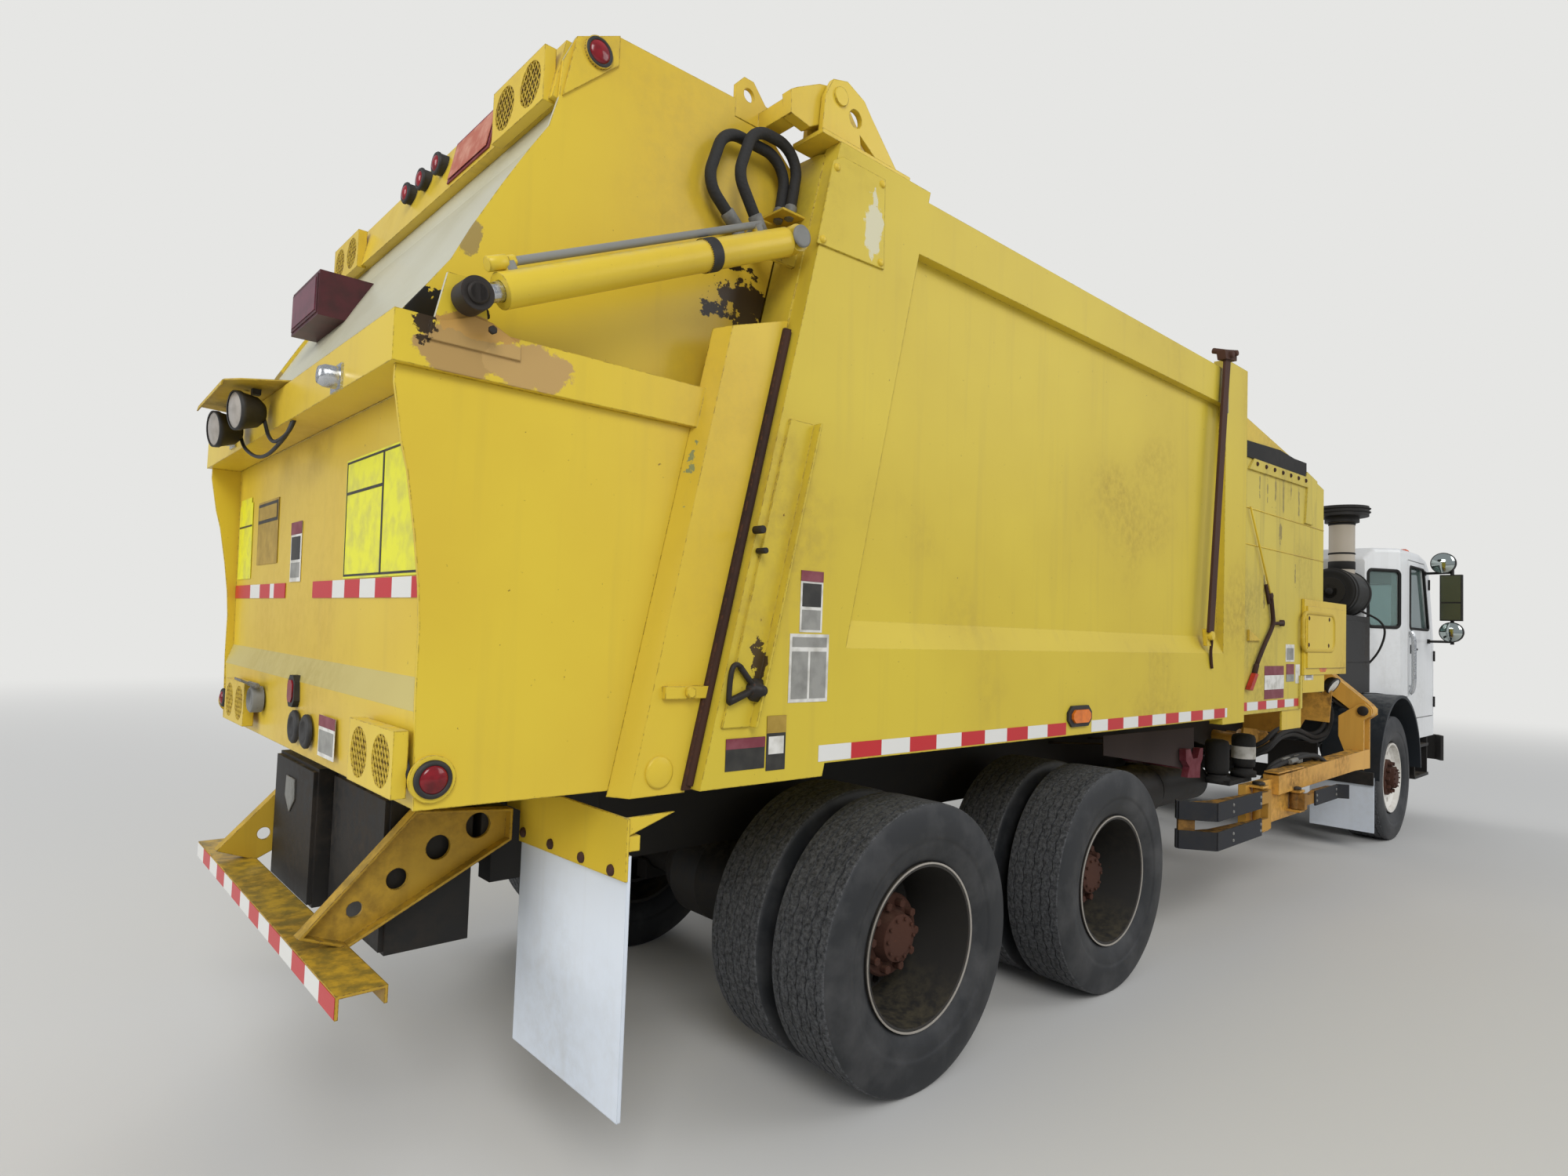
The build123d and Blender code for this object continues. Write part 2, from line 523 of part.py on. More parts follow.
with BuildPart() as body_shell:
    add(cross_plate(body_section + full, -4300, body_front))
    for name, side in sides:
        add(side_plate(rear_post, side * 1135, side * body_half))
        add(side_plate(front_post, side * 1135, side * body_half))
    add(cross_plate(body_inside + full_inside, -4400, body_front + 50), mode=Mode.SUBTRACT)
    add(side_plate(seal_line, -past_sides, past_sides), mode=Mode.SUBTRACT)
    for name, side in sides:
        add(side_plate([(-4160, 1200), (-4100, 1200), (-3646, 3165), (-3700, 3165)], side * 1000,
                       side * 1140))
        add(side_plate([(-4160, 1045), (-4020, 1045), (body_front, 1045), (body_front, body_floor),
                        (-4160, body_floor)], side * 335, side * (rail_y - 2)))
        add(bar((tip_hinge[0], side * 300, tip_hinge[1]), (tip_hinge[0], side * 500, tip_hinge[1]),
                hinge_bore), mode=Mode.SUBTRACT)
        add(block(hoist_eye[0] - 60, hoist_eye[0] + 60, side * 60, side * 80, 1070, body_floor))
    for name, side in sides:
        add(bar((gate_pin[0], side * 1110, gate_pin[1]), (gate_pin[0], side * 1204, gate_pin[1]), 22))
        add(side_plate([(-3895, 2770), (-3700, 2770), (-3700, 2890), (-3880, 2870)], side * 1098,
                       side * 1112))
        add(side_plate(cover_plate, side * body_half, side * (body_half + 6)))
        add(side_plate(prop_channel, side * body_half, side * (body_half + 8)))
        add(side_plate(prop_lip, side * body_half, side * (body_half + 38)))
    add(side_plate([(-4400, 1000), (-4100, 1000), (-4100, 1048), (-4150, 1070), (-4168, 1120),
                    (-4160, 1170), (-4400, 1170)], -past_sides, past_sides), mode=Mode.SUBTRACT)
save(body_shell, "body_shell")

# Hinge plates: a pierced triangular ear each side on the body's roof, for the tailgate's pin
ear = [(-3760, 3190), (-3748, 3330), (-3715, 3395), (-3650, 3415), (-3567, 3385), (-3530, 3345),
       (-3387, 3205), (-3387, 3190)]
ear_window = [(-3585, 3262), (-3575, 3206), (-3492, 3206)]
with BuildPart() as body_hinges:
    for name, side in sides:
        for y in (1095, 1165):
            add(side_plate(ear, side * y, side * (y + 20)))
            add(bar((-3607, side * y, 3308), (-3607, side * (y + 20), 3308), 30), mode=Mode.SUBTRACT)
            add(side_plate(ear_window, side * y, side * (y + 20)), mode=Mode.SUBTRACT)
        add(block(-3770, -3340, side * 1060, side * 1200, 3190, 3205))
        add(bar((gate_hinge[0], side * 1090, gate_hinge[1]), (gate_hinge[0], side * 1192, gate_hinge[1]),
                hinge_pin))
save(body_hinges, "body_hinges")

# Hopper: an open-topped steel bin ahead of the body, its floor plate and the packing blade at its front
hopper_half = 1170.0
hopper_side = [(body_front, 1200), (810, 1200), (810, 1420), (1270, 1420), (1270, 2720), (880, 2790),
               (862, 2753), (-60, 2733), (body_front, 2900)]
with BuildPart() as hopper:
    add(side_plate(hopper_side, -hopper_half, hopper_half))
    add(side_plate([(body_front - 50, 1240), (770, 1240), (770, 1460), (1230, 1460), (1230, 3100),
                    (body_front - 50, 3100)], -1140, 1140), mode=Mode.SUBTRACT)
    for name, side in sides:
        add(side_plate([(-140, 2660), (1090, 2690), (1090, 2752), (880, 2790), (862, 2753), (-60, 2733)],
                       side * hopper_half, side * (hopper_half + 12)))
        add(side_plate([(900, 2700), (1090, 2690), (1000, 2440), (860, 2440)], side * hopper_half,
                       side * (hopper_half + 12)))
        add(block(780, 820, side * 1100, side * (hopper_half + 12), 1205, 1420))
        add(side_plate([(body_front, 1045), (750, 1045), (790, 1200), (body_front, 1200)],
                       side * 335, side * (rail_y - 2)))
    add(side_plate([(820, 1460), (1000, 1460), (1000, 2050), (900, 2200), (880, 2190), (960, 2030),
                    (960, 1700)], -1120, 1120))
save(hopper, "hopper")

# Hood: the sloping sheet roof from the front post over the back of the hopper, with a cheek each side
hood_back = 2984.0
hood_front = (644.0, 2846.0)
with BuildPart() as hopper_hood:
    add(side_plate([(body_front + 3, hood_back - 25), (body_front + 3, hood_back), hood_front,
                    (hood_front[0], hood_front[1] - 25)], -1165, 1165))
    add(block(hood_front[0] - 16, hood_front[0], -1130, 1130, 2700, hood_front[1] - 5))
    for name, side in sides:
        add(side_plate([(body_front + 3, 2912), (body_front + 3, hood_back), hood_front,
                        (hood_front[0], 2760), (-60, 2745)], side * 1153, side * 1165))
save(hopper_hood, "hopper_hood")

# Service box: a bolted box on the curb side that reaches forward of the hopper
with BuildPart() as service_box:
    add(block(1276, 1730, -1190, -640, 1424, 1930))
    add(block(824, 1276, -1190, -hopper_half - 2, 1424, 1930))
    add(block(860, 1690, -1200, -1190, 1470, 1885))
save(service_box, "service_box")

# Tailgate: a hollow shell open to the body, its side plates standing out past the rear sheets
gap = 10.0
gate_low_side = [(-4306, 1165), (-4892, 1169), (-4900, 1423), (-4900, 1591), (-4907, 1690), (-4922, 1807),
                 (-4945, 1948), (-4963, 2018), (-4985, 2149), (-4985, 2190), (-3700, 2190), (-3700, 1165)]
gate_low = [(-4306, 1165), (-4886, 1169), (-4897, 1395), (-4872, 1470), (-4882, 2190), (-4960, 2230),
            (-4960, 2310), (-3700, 2316), (-3700, 1165)]
gate_low_inside = [(-4306, 1195), (-4856, 1199), (-4867, 1385), (-4842, 1480), (-4852, 2200),
                   (-4920, 2250), (-4920, 2316), (-3600, 2316), (-3600, 1195)]
gate_high_side = [(-4975, 2310), (-4893, 2425), (-4840, 2502), (-4795, 2596), (-4720, 2736), (-4655, 2850),
                  (-4598, 2943), (-4572, 3035), (-4564, 3143), (-4530, 3221), (-4396, 3288), (-3900, 3300),
                  (-3712, 3150), (-3712, 2310)]
gate_high = [(-4960, 2310), (-4880, 2425), (-4825, 2502), (-4780, 2596), (-4705, 2736), (-4640, 2850),
             (-4582, 2943), (-4552, 3035), (-4524, 3208), (-4396, 3276), (-3900, 3288), (-3712, 3140),
             (-3712, 2310)]
gate_high_inside = [(-4920, 2300), (-4854, 2410), (-4800, 2487), (-4753, 2583), (-4679, 2721),
                    (-4614, 2835), (-4562, 2935), (-4534, 3028), (-4506, 3192), (-4390, 3250),
                    (-3910, 3260), (-3600, 3000), (-3600, 2300)]
gate_front = [(-4160 - gap - seal_slope * 60, 1100), (-4160 - gap + seal_slope * 2240, 3400),
              (-3000, 3400), (-3000, 1100)]
hinge_arm = [(-3876, 3300), (-3868, 3226), (-3790, 3215), (-3705, 3263), (-3626, 3322), (-3622, 3375),
             (-3660, 3398), (-3753, 3372), (-3850, 3318)]
lifting_lug = [(-3968, 3240), (-3968, 3348), (-3937, 3382), (-3898, 3382), (-3845, 3325), (-3790, 3312),
               (-3790, 3240)]
with BuildPart() as tailgate_shell:
    add(side_plate(gate_low, -1080, 1080))
    add(side_plate(gate_high, -990, 990))
    add(side_plate(gate_low_inside, -1060, 1060), mode=Mode.SUBTRACT)
    add(side_plate(gate_high_inside, -970, 970), mode=Mode.SUBTRACT)
    for name, side in sides:
        add(side_plate(gate_low_side, side * 1078, side * 1090))
        add(side_plate(gate_high_side, side * 988, side * 1000))
        add(side_plate(lifting_lug, side * 988, side * 1002))
        add(bar((-3915, side * 980, 3330), (-3915, side * 1010, 3330), 22), mode=Mode.SUBTRACT)
        add(block(-3872, -3812, side * 960, side * 1160, 3228, 3288))
    add(side_plate(gate_front, -past_sides, past_sides), mode=Mode.SUBTRACT)
    for name, side in sides:
        add(side_plate(hinge_arm, side * 1120, side * 1160))
        add(bar((gate_hinge[0], side * 1100, gate_hinge[1]), (gate_hinge[0], side * 1180, gate_hinge[1]),
                hinge_bore), mode=Mode.SUBTRACT)
save(tailgate_shell, "tailgate_shell")

# Tailgate belt: a box beam round the sides and back, and the slanting flanges that seat on the rear post
belt_half = 1110.0
flange_half = 1150.0
belt_z = (2190.0, 2310.0)
flange_inner = [(-4387, 1150), (-4150, 1150), (-3830, 2580), (-4092, 2500)]
flange_outer = [(-4351, 1150), (-4150, 1150), (-3830, 2580), (-4062, 2504)]
eye_lug = [(-4910, belt_z[1]), (-4780, belt_z[1]), (-4800, 2425), (-4885, 2425)]
gusset = [(-4925, 2255), (-4920, 2300), (-4876, 2312), (-4820, 2335), (-4775, 2330), (-4700, 2294),
          (-4698, 2255)]
with BuildPart() as slanted_flange:
    for y, outline in ((1090, flange_inner), (flange_half, flange_outer)):
        with BuildSketch(Plane.XZ.offset(-y)):
            with BuildLine():
                Polyline(*outline, close=True)
            make_face()
    loft()
with BuildPart() as tailgate_belt:
    for name, side in sides:
        add(slanted_flange.part if side == 1 else mirror(slanted_flange.part, about=Plane.XZ,
                                                         mode=Mode.PRIVATE))
        add(block(-half_length, -4090, side * 1090, side * belt_half, *belt_z))
        add(side_plate(eye_lug, side * (belt_half - 12), side * belt_half))
        add(side_plate(gusset, side * belt_half, side * (belt_half + 6)))
        add(block(-4260, -4100, side * flange_half, side * (flange_half + 16), 1412, 1446))
    add(block(-half_length, -4961, -belt_half, belt_half, *belt_z))
    add(side_plate([(-half_length, 2190), (-4885, 2190), (-4910, 2202), (-half_length, 2202)], -1078,
                   1078))
    add(side_plate(gate_front, -past_sides, past_sides), mode=Mode.SUBTRACT)
save(tailgate_belt, "tailgate_belt")

# Light bar: a raised ledge with round lamps across the top, lamp guards there and at the foot, a box lamp
ledge = [(-4550, 3035), (-4587, 3035), (-4552, 3208), (-4522, 3208)]
guard_size = (325.0, 155.0, 34.0)
# (x of the guard's face, its middle in Y, its middle in Z)
guards = ((-4604, -805, 3105), (-4604, 805, 3105), (-4940, -915, 1275), (-4940, 640, 1275))
guard_hole = 62.0
corner_facet = [(-4530, 3221), (-4396, 3288), (-4396, 3200), (-4564, 3040)]
with BuildPart() as light_bar:
    add(side_plate(ledge, -988, 988))
    for y in (-156, -6, 139):
        add(bar((-4540, y, 3160), (-4586, y, 3160), 36))
    for x, y, z in guards:
        width, height, depth = guard_size
        add(block(x, x + depth, y - width / 2, y + width / 2, z - height / 2, z + height / 2))
        for shift in (-0.25 * width, 0.25 * width):
            add(bar((x - 1, y + shift, z), (x + depth / 2, y + shift, z), guard_hole), mode=Mode.SUBTRACT)
    add(block(-4830, -4640, 250, 615, 2672, 2835))
    for name, side in sides:
        add(side_plate(corner_facet, side * 1000, side * 1006))
        add(bar((-4463, side * 1006, 3205), (-4463, side * 1014, 3205), 44))
        add(bar((-4855, side * 1090, 1240), (-4855, side * 1099, 1240), 55))
    add(tailgate_shell.part, mode=Mode.SUBTRACT)
save(light_bar, "light_bar")

# Tailgate cylinders: a barrel pinned to each rear post, its rod pinned outside the belt
cylinder_y = 1160.0
barrel_radius = 44.0
rod_radius = 24.0
gate_run = Vector(gate_eye[0] - gate_pin[0], 0, gate_eye[1] - gate_pin[1])
gate_way = gate_run.normalized()
for name, side in sides:
    pin = Vector(gate_pin[0], side * cylinder_y, gate_pin[1])
    eye = Vector(gate_eye[0], side * cylinder_y, gate_eye[1])
    mouth = pin + gate_way * 1020
    pipe = Vector(-gate_way.Z, 0, gate_way.X) * -62
    with BuildPart() as cylinder_barrel:
        add(bar(tuple(pin + gate_way * 30), tuple(mouth), barrel_radius))
        add(bar((pin.X, side * (cylinder_y - 34), pin.Z), (pin.X, side * (cylinder_y + 34), pin.Z), 42))
        for along in (130, 975):
            add(bar(tuple(pin + gate_way * along), tuple(pin + gate_way * along + pipe), 17))
        add(bar(tuple(pin + gate_way * 110 + pipe), tuple(pin + gate_way * 1000 + pipe), 11))
        add(bar(tuple(pin + gate_way * 330), tuple(pin + gate_way * 370), barrel_radius + 4))
        add(bar((pin.X, side * (cylinder_y - 60), pin.Z), (pin.X, side * (cylinder_y + 60), pin.Z), 23),
            mode=Mode.SUBTRACT)
        add(bar(tuple(pin + gate_way * 60), tuple(mouth + gate_way * 5), rod_radius + 1),
            mode=Mode.SUBTRACT)
    save(cylinder_barrel, f"cylinder_barrel_{name}")
    with BuildPart() as cylinder_rod:
        add(bar(tuple(pin + gate_way * 80), tuple(eye - gate_way * 20), rod_radius))
        add(bar((eye.X, side * (cylinder_y - 30), eye.Z), (eye.X, side * (cylinder_y + 30), eye.Z), 40))
        add(bar((eye.X, side * (cylinder_y - 42), eye.Z), (eye.X, side * (cylinder_y + 38), eye.Z), 22))
    save(cylinder_rod, f"cylinder_rod_{name}")

# Tailgate hoses: two rubber hoses a side, looped up from the cylinder and down behind the rear post
hose_radius = 18.0
hose_bend = 85.0
# (y, the points of the loop in X and Z)
hose_loops = ((1075, [(-3900, 2850), (-4005, 3010), (-3950, 3180), (-3750, 3180), (-3782, 2985)]),
              (1042, [(-3965, 2850), (-4100, 2965), (-4040, 3150), (-3775, 3150), (-3800, 2980)]))
with BuildPart() as gate_hoses:
    for name, side in sides:
        for y, loop in hose_loops:
            add(hose([(x, side * y, z) for x, z in loop], hose_bend, hose_radius))
save(gate_hoses, "gate_hoses")

# Hoist: a two-stage telescopic cylinder between the rails that tips the body
start = Vector(hoist_pin[0], 0, hoist_pin[1])
end = Vector(hoist_eye[0], 0, hoist_eye[1])
hoist_way = (end - start).normalized()
sleeve_radius = 62.0
hoist_rod_radius = 46.0
with BuildPart() as hoist_barrel:
    add(bar(tuple(start + hoist_way * 30), tuple(start + hoist_way * 610), sleeve_radius + 16))
    add(bar((start.X, -60, start.Z), (start.X, 60, start.Z), 60))
    add(bar((start.X, -90, start.Z), (start.X, 90, start.Z), hinge_bore), mode=Mode.SUBTRACT)
    add(bar(tuple(start + hoist_way * 110), tuple(start + hoist_way * 620), sleeve_radius + 1),
        mode=Mode.SUBTRACT)
save(hoist_barrel, "hoist_barrel")
with BuildPart() as hoist_sleeve:
    add(bar(tuple(start + hoist_way * 130), tuple(start + hoist_way * 640), sleeve_radius))
    add(bar(tuple(start + hoist_way * 150), tuple(start + hoist_way * 650), hoist_rod_radius + 1),
        mode=Mode.SUBTRACT)
save(hoist_sleeve, "hoist_sleeve")
with BuildPart() as hoist_rod:
    add(bar(tuple(start + hoist_way * 170), tuple(end - hoist_way * 20), hoist_rod_radius))
    add(bar((end.X, -45, end.Z), (end.X, 45, end.Z), 50))
    add(bar((end.X, -54, end.Z), (end.X, 54, end.Z), 25))
save(hoist_rod, "hoist_rod")

# Arm base: a pedestal on the rail behind the cab, with two ears for the boom's pin
boom_pin = (-550.0, 1720.0)
elbow_pin = (-1247.0, 1151.0)
boom_half = 55.0
with BuildPart() as arm_base:
    add(block(1880, 2180, -700, -rail_y, 930, 1320))
    for x in (arm_x - 100, arm_x + 75):
        add(cross_plate([(-700, 1320), (-rail_y - 20, 1320), (-470, 1740), (-510, 1800), (-590, 1800),
                         (-640, 1740)], x, x + 25))
    add(bar((arm_x - 110, *boom_pin), (arm_x + 110, *boom_pin), hinge_pin + 2))
    add(block(1600, 1880, -700, -640, 1115, 1220))
    add(cross_plate([(-640, 1320), (-1137, 1300), (-1119, 1068), (-961, 1074), (-922, 1003), (-799, 1012),
                     (-799, 1115), (-640, 1115)], 1600, 1614))
save(arm_base, "arm_base")

# Boom: a flat box link from the pedestal down to the elbow
boom_run = Vector(0, elbow_pin[0] - boom_pin[0], elbow_pin[1] - boom_pin[1])
boom_way = boom_run.normalized()
boom_side = Vector(0, -boom_way.Z, boom_way.Y)
with BuildPart() as boom:
    corners = []
    for along, across in ((0, -74), (boom_run.length, -56), (boom_run.length, 56), (0, 74)):
        corner = Vector(0, *boom_pin) + boom_way * along + boom_side * across
        corners.append((corner.Y, corner.Z))
    add(cross_plate(corners, arm_x - boom_half, arm_x + boom_half))
    add(bar((arm_x - boom_half - 5, *boom_pin), (arm_x + boom_half + 5, *boom_pin), 80))
    add(bar((arm_x - boom_half, *elbow_pin), (arm_x + boom_half, *elbow_pin), 54))
    for pin, bore in ((boom_pin, hinge_bore + 2), (elbow_pin, hinge_bore)):
        add(bar((arm_x - 90, *pin), (arm_x + 90, *pin), bore), mode=Mode.SUBTRACT)
save(boom, "boom")

# Forearm: two elbow plates, the long box beam back to the gripper's housing, and the two finger pins
beam_y = (-1250.0, -1160.0)
grip_y = -1250.0
finger_x = {"rear": -140.0, "front": 480.0}
ear_z = {"rear": (545.0, 790.0), "front": (583.0, 703.0)}
elbow_plate = [(-1298, 1165), (-1255, 1208), (-1215, 1200), (-1085, 1100), (-1085, 950), (-1165, 730),
               (-1250, 715), (-1250, 1080), (-1298, 1120)]
with BuildPart() as forearm:
    for x in (arm_x - 85, arm_x + 65):
        add(cross_plate(elbow_plate, x, x + 20))
    add(bar((arm_x - 95, *elbow_pin), (arm_x + 95, *elbow_pin), hinge_pin))
    add(side_plate([(190, 712), (190, 826), (1750, 855), (arm_x + 85, 860), (arm_x + 85, 715),
                    (1750, 728)], *beam_y))
    add(block(-230, 640, -1213, -1170, 545, 804))
    for name, x in finger_x.items():
        for z in ear_z[name]:
            add(block(x - 45, x + 45, grip_y - 40, -1200, z, z + 14))
        add(bar((x, grip_y, ear_z[name][0] - 5), (x, grip_y, ear_z[name][1] + 19), 18))
save(forearm, "forearm")

# Fingers: the rear one is a double hoop with a belt above and below, the front one a single bar between
# Outlines from the pin as (along the truck, outward): the belt's bar, the frame's web and the end plate
finger_bars = {"rear": [(-24, 32), (-24, 60), (760, 60), (868, -88), (840, -108), (738, 32)],
               "front": [(-24, 32), (-24, 60), (606, 60), (650, 118), (672, 100), (620, 32)]}
finger_webs = {"rear": [(110, 34), (740, 34), (842, -106), (640, -30), (300, 4)],
               "front": [(110, 34), (590, 34), (560, 10), (300, 4)]}
finger_ends = {"rear": [(868, -88), (840, -108), (792, -42), (820, -22)],
               "front": [(650, 118), (672, 100), (646, 67), (624, 84)]}
finger_levels = {"rear": ((562, 628), (712, 778)), "front": ((626, 690),)}
web_thick = 10.0
for name, way in (("rear", -1), ("front", 1)):
    x = finger_x[name]
    bar_line, web_line, end_line = [[(x + way * along, grip_y - out) for along, out in outlines[name]]
                                    for outlines in (finger_bars, finger_webs, finger_ends)]
    low, high = ear_z[name][0] + 17, ear_z[name][1] - 3
    with BuildPart() as finger:
        for bottom, top in finger_levels[name]:
            add(flat_plate(bar_line, bottom, top))
            add(flat_plate(web_line, top - web_thick, top))
        add(flat_plate(end_line, finger_levels[name][0][0], finger_levels[name][-1][1]))
        add(flat_plate([(x - 24, grip_y - 60), (x + 24, grip_y - 60), (x + 24, grip_y), (x - 24, grip_y)],
                       low, high))
        add(bar((x, grip_y, low), (x, grip_y, high), 32))
        add(bar((x, grip_y, low - 9), (x, grip_y, high + 9), 19), mode=Mode.SUBTRACT)
    save(finger, f"finger_{name}")
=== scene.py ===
from math import atan2, cos, pi, radians, sin
import bpy, bmesh
from mathutils import Matrix, Vector


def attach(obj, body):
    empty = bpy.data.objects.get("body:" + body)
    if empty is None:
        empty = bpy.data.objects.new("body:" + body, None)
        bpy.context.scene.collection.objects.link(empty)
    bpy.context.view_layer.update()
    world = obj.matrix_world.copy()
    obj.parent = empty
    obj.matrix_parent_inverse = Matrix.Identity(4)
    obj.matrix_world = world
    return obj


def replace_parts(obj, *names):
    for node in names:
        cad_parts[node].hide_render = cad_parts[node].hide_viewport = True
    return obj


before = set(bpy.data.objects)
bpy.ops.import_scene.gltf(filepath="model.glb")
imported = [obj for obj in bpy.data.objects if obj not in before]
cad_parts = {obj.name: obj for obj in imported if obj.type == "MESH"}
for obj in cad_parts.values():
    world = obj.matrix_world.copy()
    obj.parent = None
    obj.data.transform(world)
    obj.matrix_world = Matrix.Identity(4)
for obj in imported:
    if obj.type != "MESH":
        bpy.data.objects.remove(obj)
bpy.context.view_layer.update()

# Viewpoint: a phone camera held at chest height behind the truck's right rear corner.
# A wide lens of 20 mm, looking forward and slightly up, so the near corner is much larger than the cab.
camera_place = (-5.6406, -3.1452, 1.6199)
heading, climb, lean = radians(47.661), radians(2.577), radians(2.0025)
camera = bpy.data.objects.new("viewpoint", bpy.data.cameras.new("viewpoint"))
bpy.context.scene.collection.objects.link(camera)
camera.data.lens = 20.06
camera.data.sensor_width = 36.0
camera.data.clip_end = 300
camera.matrix_world = (Matrix.Translation(camera_place) @ Matrix.Rotation(heading - pi / 2, 4, "Z")
                       @ Matrix.Rotation(climb + pi / 2, 4, "X") @ Matrix.Rotation(lean, 4, "Z"))
bpy.context.scene.camera = camera

# Studio: a plain pale floor that fades into an even pale surround, and four large soft lamps.
# The sheet metal is large and flat, so the surround gives most of the light and the lamps only shape it.


def linear(code):
    """A hex colour as written for a screen, turned to linear light, with full opacity."""
    parts = [int(code[i:i + 2], 16) / 255 for i in (0, 2, 4)]
    return [p / 12.92 if p <= 0.04045 else ((p + 0.055) / 1.055) ** 2.4 for p in parts] + [1.0]


def fill(tree, made, inputs):
    """Fills a node's sockets from (socket, value) pairs: nodes and sockets are linked, all else is set."""
    for socket, value in dict(inputs).items():
        if isinstance(value, bpy.types.Node):
            value = value.outputs[0]
        if isinstance(value, bpy.types.NodeSocket):
            tree.links.new(value, made.inputs[socket])
        else:
            made.inputs[socket].default_value = value


def add_node(tree, kind, inputs=(), **settings):
    """Adds a shader node, sets its options and fills its sockets."""
    made = tree.nodes.new("ShaderNode" + kind)
    for option, value in settings.items():
        setattr(made, option, value)
    fill(tree, made, inputs)
    return made


def new_material(name):
    """A new material, its tree, the skin that is still to be filled, and the shaded point's place."""
    material = bpy.data.materials.new(name)
    material.use_nodes = True
    tree = material.node_tree
    tree.nodes.clear()
    skin = add_node(tree, "BsdfPrincipled")
    add_node(tree, "OutputMaterial", {"Surface": skin})
    return material, tree, skin, add_node(tree, "TexCoord").outputs["Object"]


backdrop_tone = linear("E6E6E4")
floor_paint, tree, skin, place = new_material("pale_studio_floor")
matt = add_node(tree, "BsdfDiffuse", {"Color": linear("CFCECB")})
seen = add_node(tree, "Emission", {"Color": backdrop_tone, "Strength": 1.0})
path = add_node(tree, "LightPath")
away = add_node(tree, "VectorMath", {0: place}, operation="LENGTH")
fade = add_node(tree, "MapRange", {"Value": away.outputs["Value"], "From Min": 7.0, "From Max": 22.0},
                interpolation_type="SMOOTHSTEP")
share = add_node(tree, "Math", {0: fade, 1: path.outputs["Is Camera Ray"]}, operation="MULTIPLY")
blend = add_node(tree, "MixShader", {0: share, 1: matt, 2: seen})
fill(tree, tree.nodes["Material Output"], {"Surface": blend})
tree.nodes.remove(skin)
# the mesh in hand: every shape is drawn on it, and each finished piece empties it
bm = bmesh.new()
bmesh.ops.create_grid(bm, x_segments=1, y_segments=1, size=60)
mesh = bpy.data.meshes.new("floor")
bm.to_mesh(mesh)
bm.clear()
floor = bpy.data.objects.new("floor", mesh)
bpy.context.scene.collection.objects.link(floor)
mesh.materials.append(floor_paint)

world = bpy.data.worlds.new("studio")
bpy.context.scene.world = world
world.use_nodes = True
tree = world.node_tree
tree.nodes.clear()
path = add_node(tree, "LightPath")
around = add_node(tree, "Background", {"Color": linear("E4E8EE"), "Strength": 0.55})
behind = add_node(tree, "Background", {"Color": backdrop_tone, "Strength": 1.0})
shown = add_node(tree, "MixShader", {0: path.outputs["Is Camera Ray"], 1: around, 2: behind})
add_node(tree, "OutputWorld", {"Surface": shown})
bpy.context.scene.view_settings.view_transform = "Standard"

# (name, place, aim, side in metres, watts)
lamps = (("key_lamp", (-11, -13, 12), (0, 0, 1.5), 8.0, 1500),
         ("fill_lamp", (9, -12, 9), (0, 0, 1.5), 9.0, 620),
         ("back_lamp", (4, 14, 10), (0, 0, 1.5), 9.0, 900),
         ("rear_lamp", (-17, 3, 6), (-5, 0, 1.5), 7.0, 800))
for name, place, aim, side, watts in lamps:
    lamp = bpy.data.lights.new(name, "AREA")
    lamp.size = side
    lamp.energy = watts
    holder = bpy.data.objects.new(name, lamp)
    bpy.context.scene.collection.objects.link(holder)
    holder.location = place
    holder.rotation_euler = (Vector(aim) - Vector(place)).to_track_quat("-Z", "Y").to_euler()

# Tyres: worn highway rubber, moulded in one piece with five flat ribs between zigzag grooves.
# Dust has turned the tread grey and rough, while the side walls stay smooth and nearly black.
# Sockets go by number: in MapRange 1 to 4 are the two ranges' ends, and in Mix 6 and 7 are the colours.
tread, tree, skin, place = new_material("grey_worn_tread_rubber")
grain = add_node(tree, "TexNoise", {"Vector": place, "Scale": 1000 / 14, "Detail": 8.0, "Roughness": 0.75})
shade = add_node(tree, "MapRange", {0: grain, 1: 0.38, 2: 0.64})
tone = add_node(tree, "Mix", {0: shade, 6: linear("232426"), 7: linear("5F6062")}, data_type="RGBA")
pits = add_node(tree, "Bump", {"Height": grain, "Strength": 0.9, "Distance": 0.004})
fill(tree, skin, {"Base Color": tone.outputs[2], "Roughness": 0.9, "Normal": pits})
# the eye reads a smooth black wall with soft grey dust clouds
wall, tree, skin, place = new_material("smooth_black_tyre_wall")
clouds = add_node(tree, "TexNoise", {"Vector": place, "Scale": 1000 / 180, "Detail": 7.0,
                                     "Roughness": 0.6})
dusty = add_node(tree, "MapRange", {0: clouds, 1: 0.45, 2: 0.75})
tone = add_node(tree, "Mix", {0: dusty, 6: linear("1D1F22"), 7: linear("3F3F40")}, data_type="RGBA")
fill(tree, skin, {"Base Color": tone.outputs[2], "Roughness": 0.55})


def at(x, y, z):
    """A place in the row frame from millimetres."""
    return Vector((x, y, z)) / 1000


def lathe(outline, x, z, steps=64):
    """Spins a closed line of (y, radius) points about a crosswise axle at x and z."""
    line = [bm.verts.new(at(x, y, z + radius)) for y, radius in outline]
    edges = [bm.edges.new(pair) for pair in zip(line, line[1:] + line[:1])]
    bmesh.ops.spin(bm, geom=line + edges, cent=at(x, 0, z), axis=(0, 1, 0), angle=2 * pi, steps=steps,
                   use_merge=True)


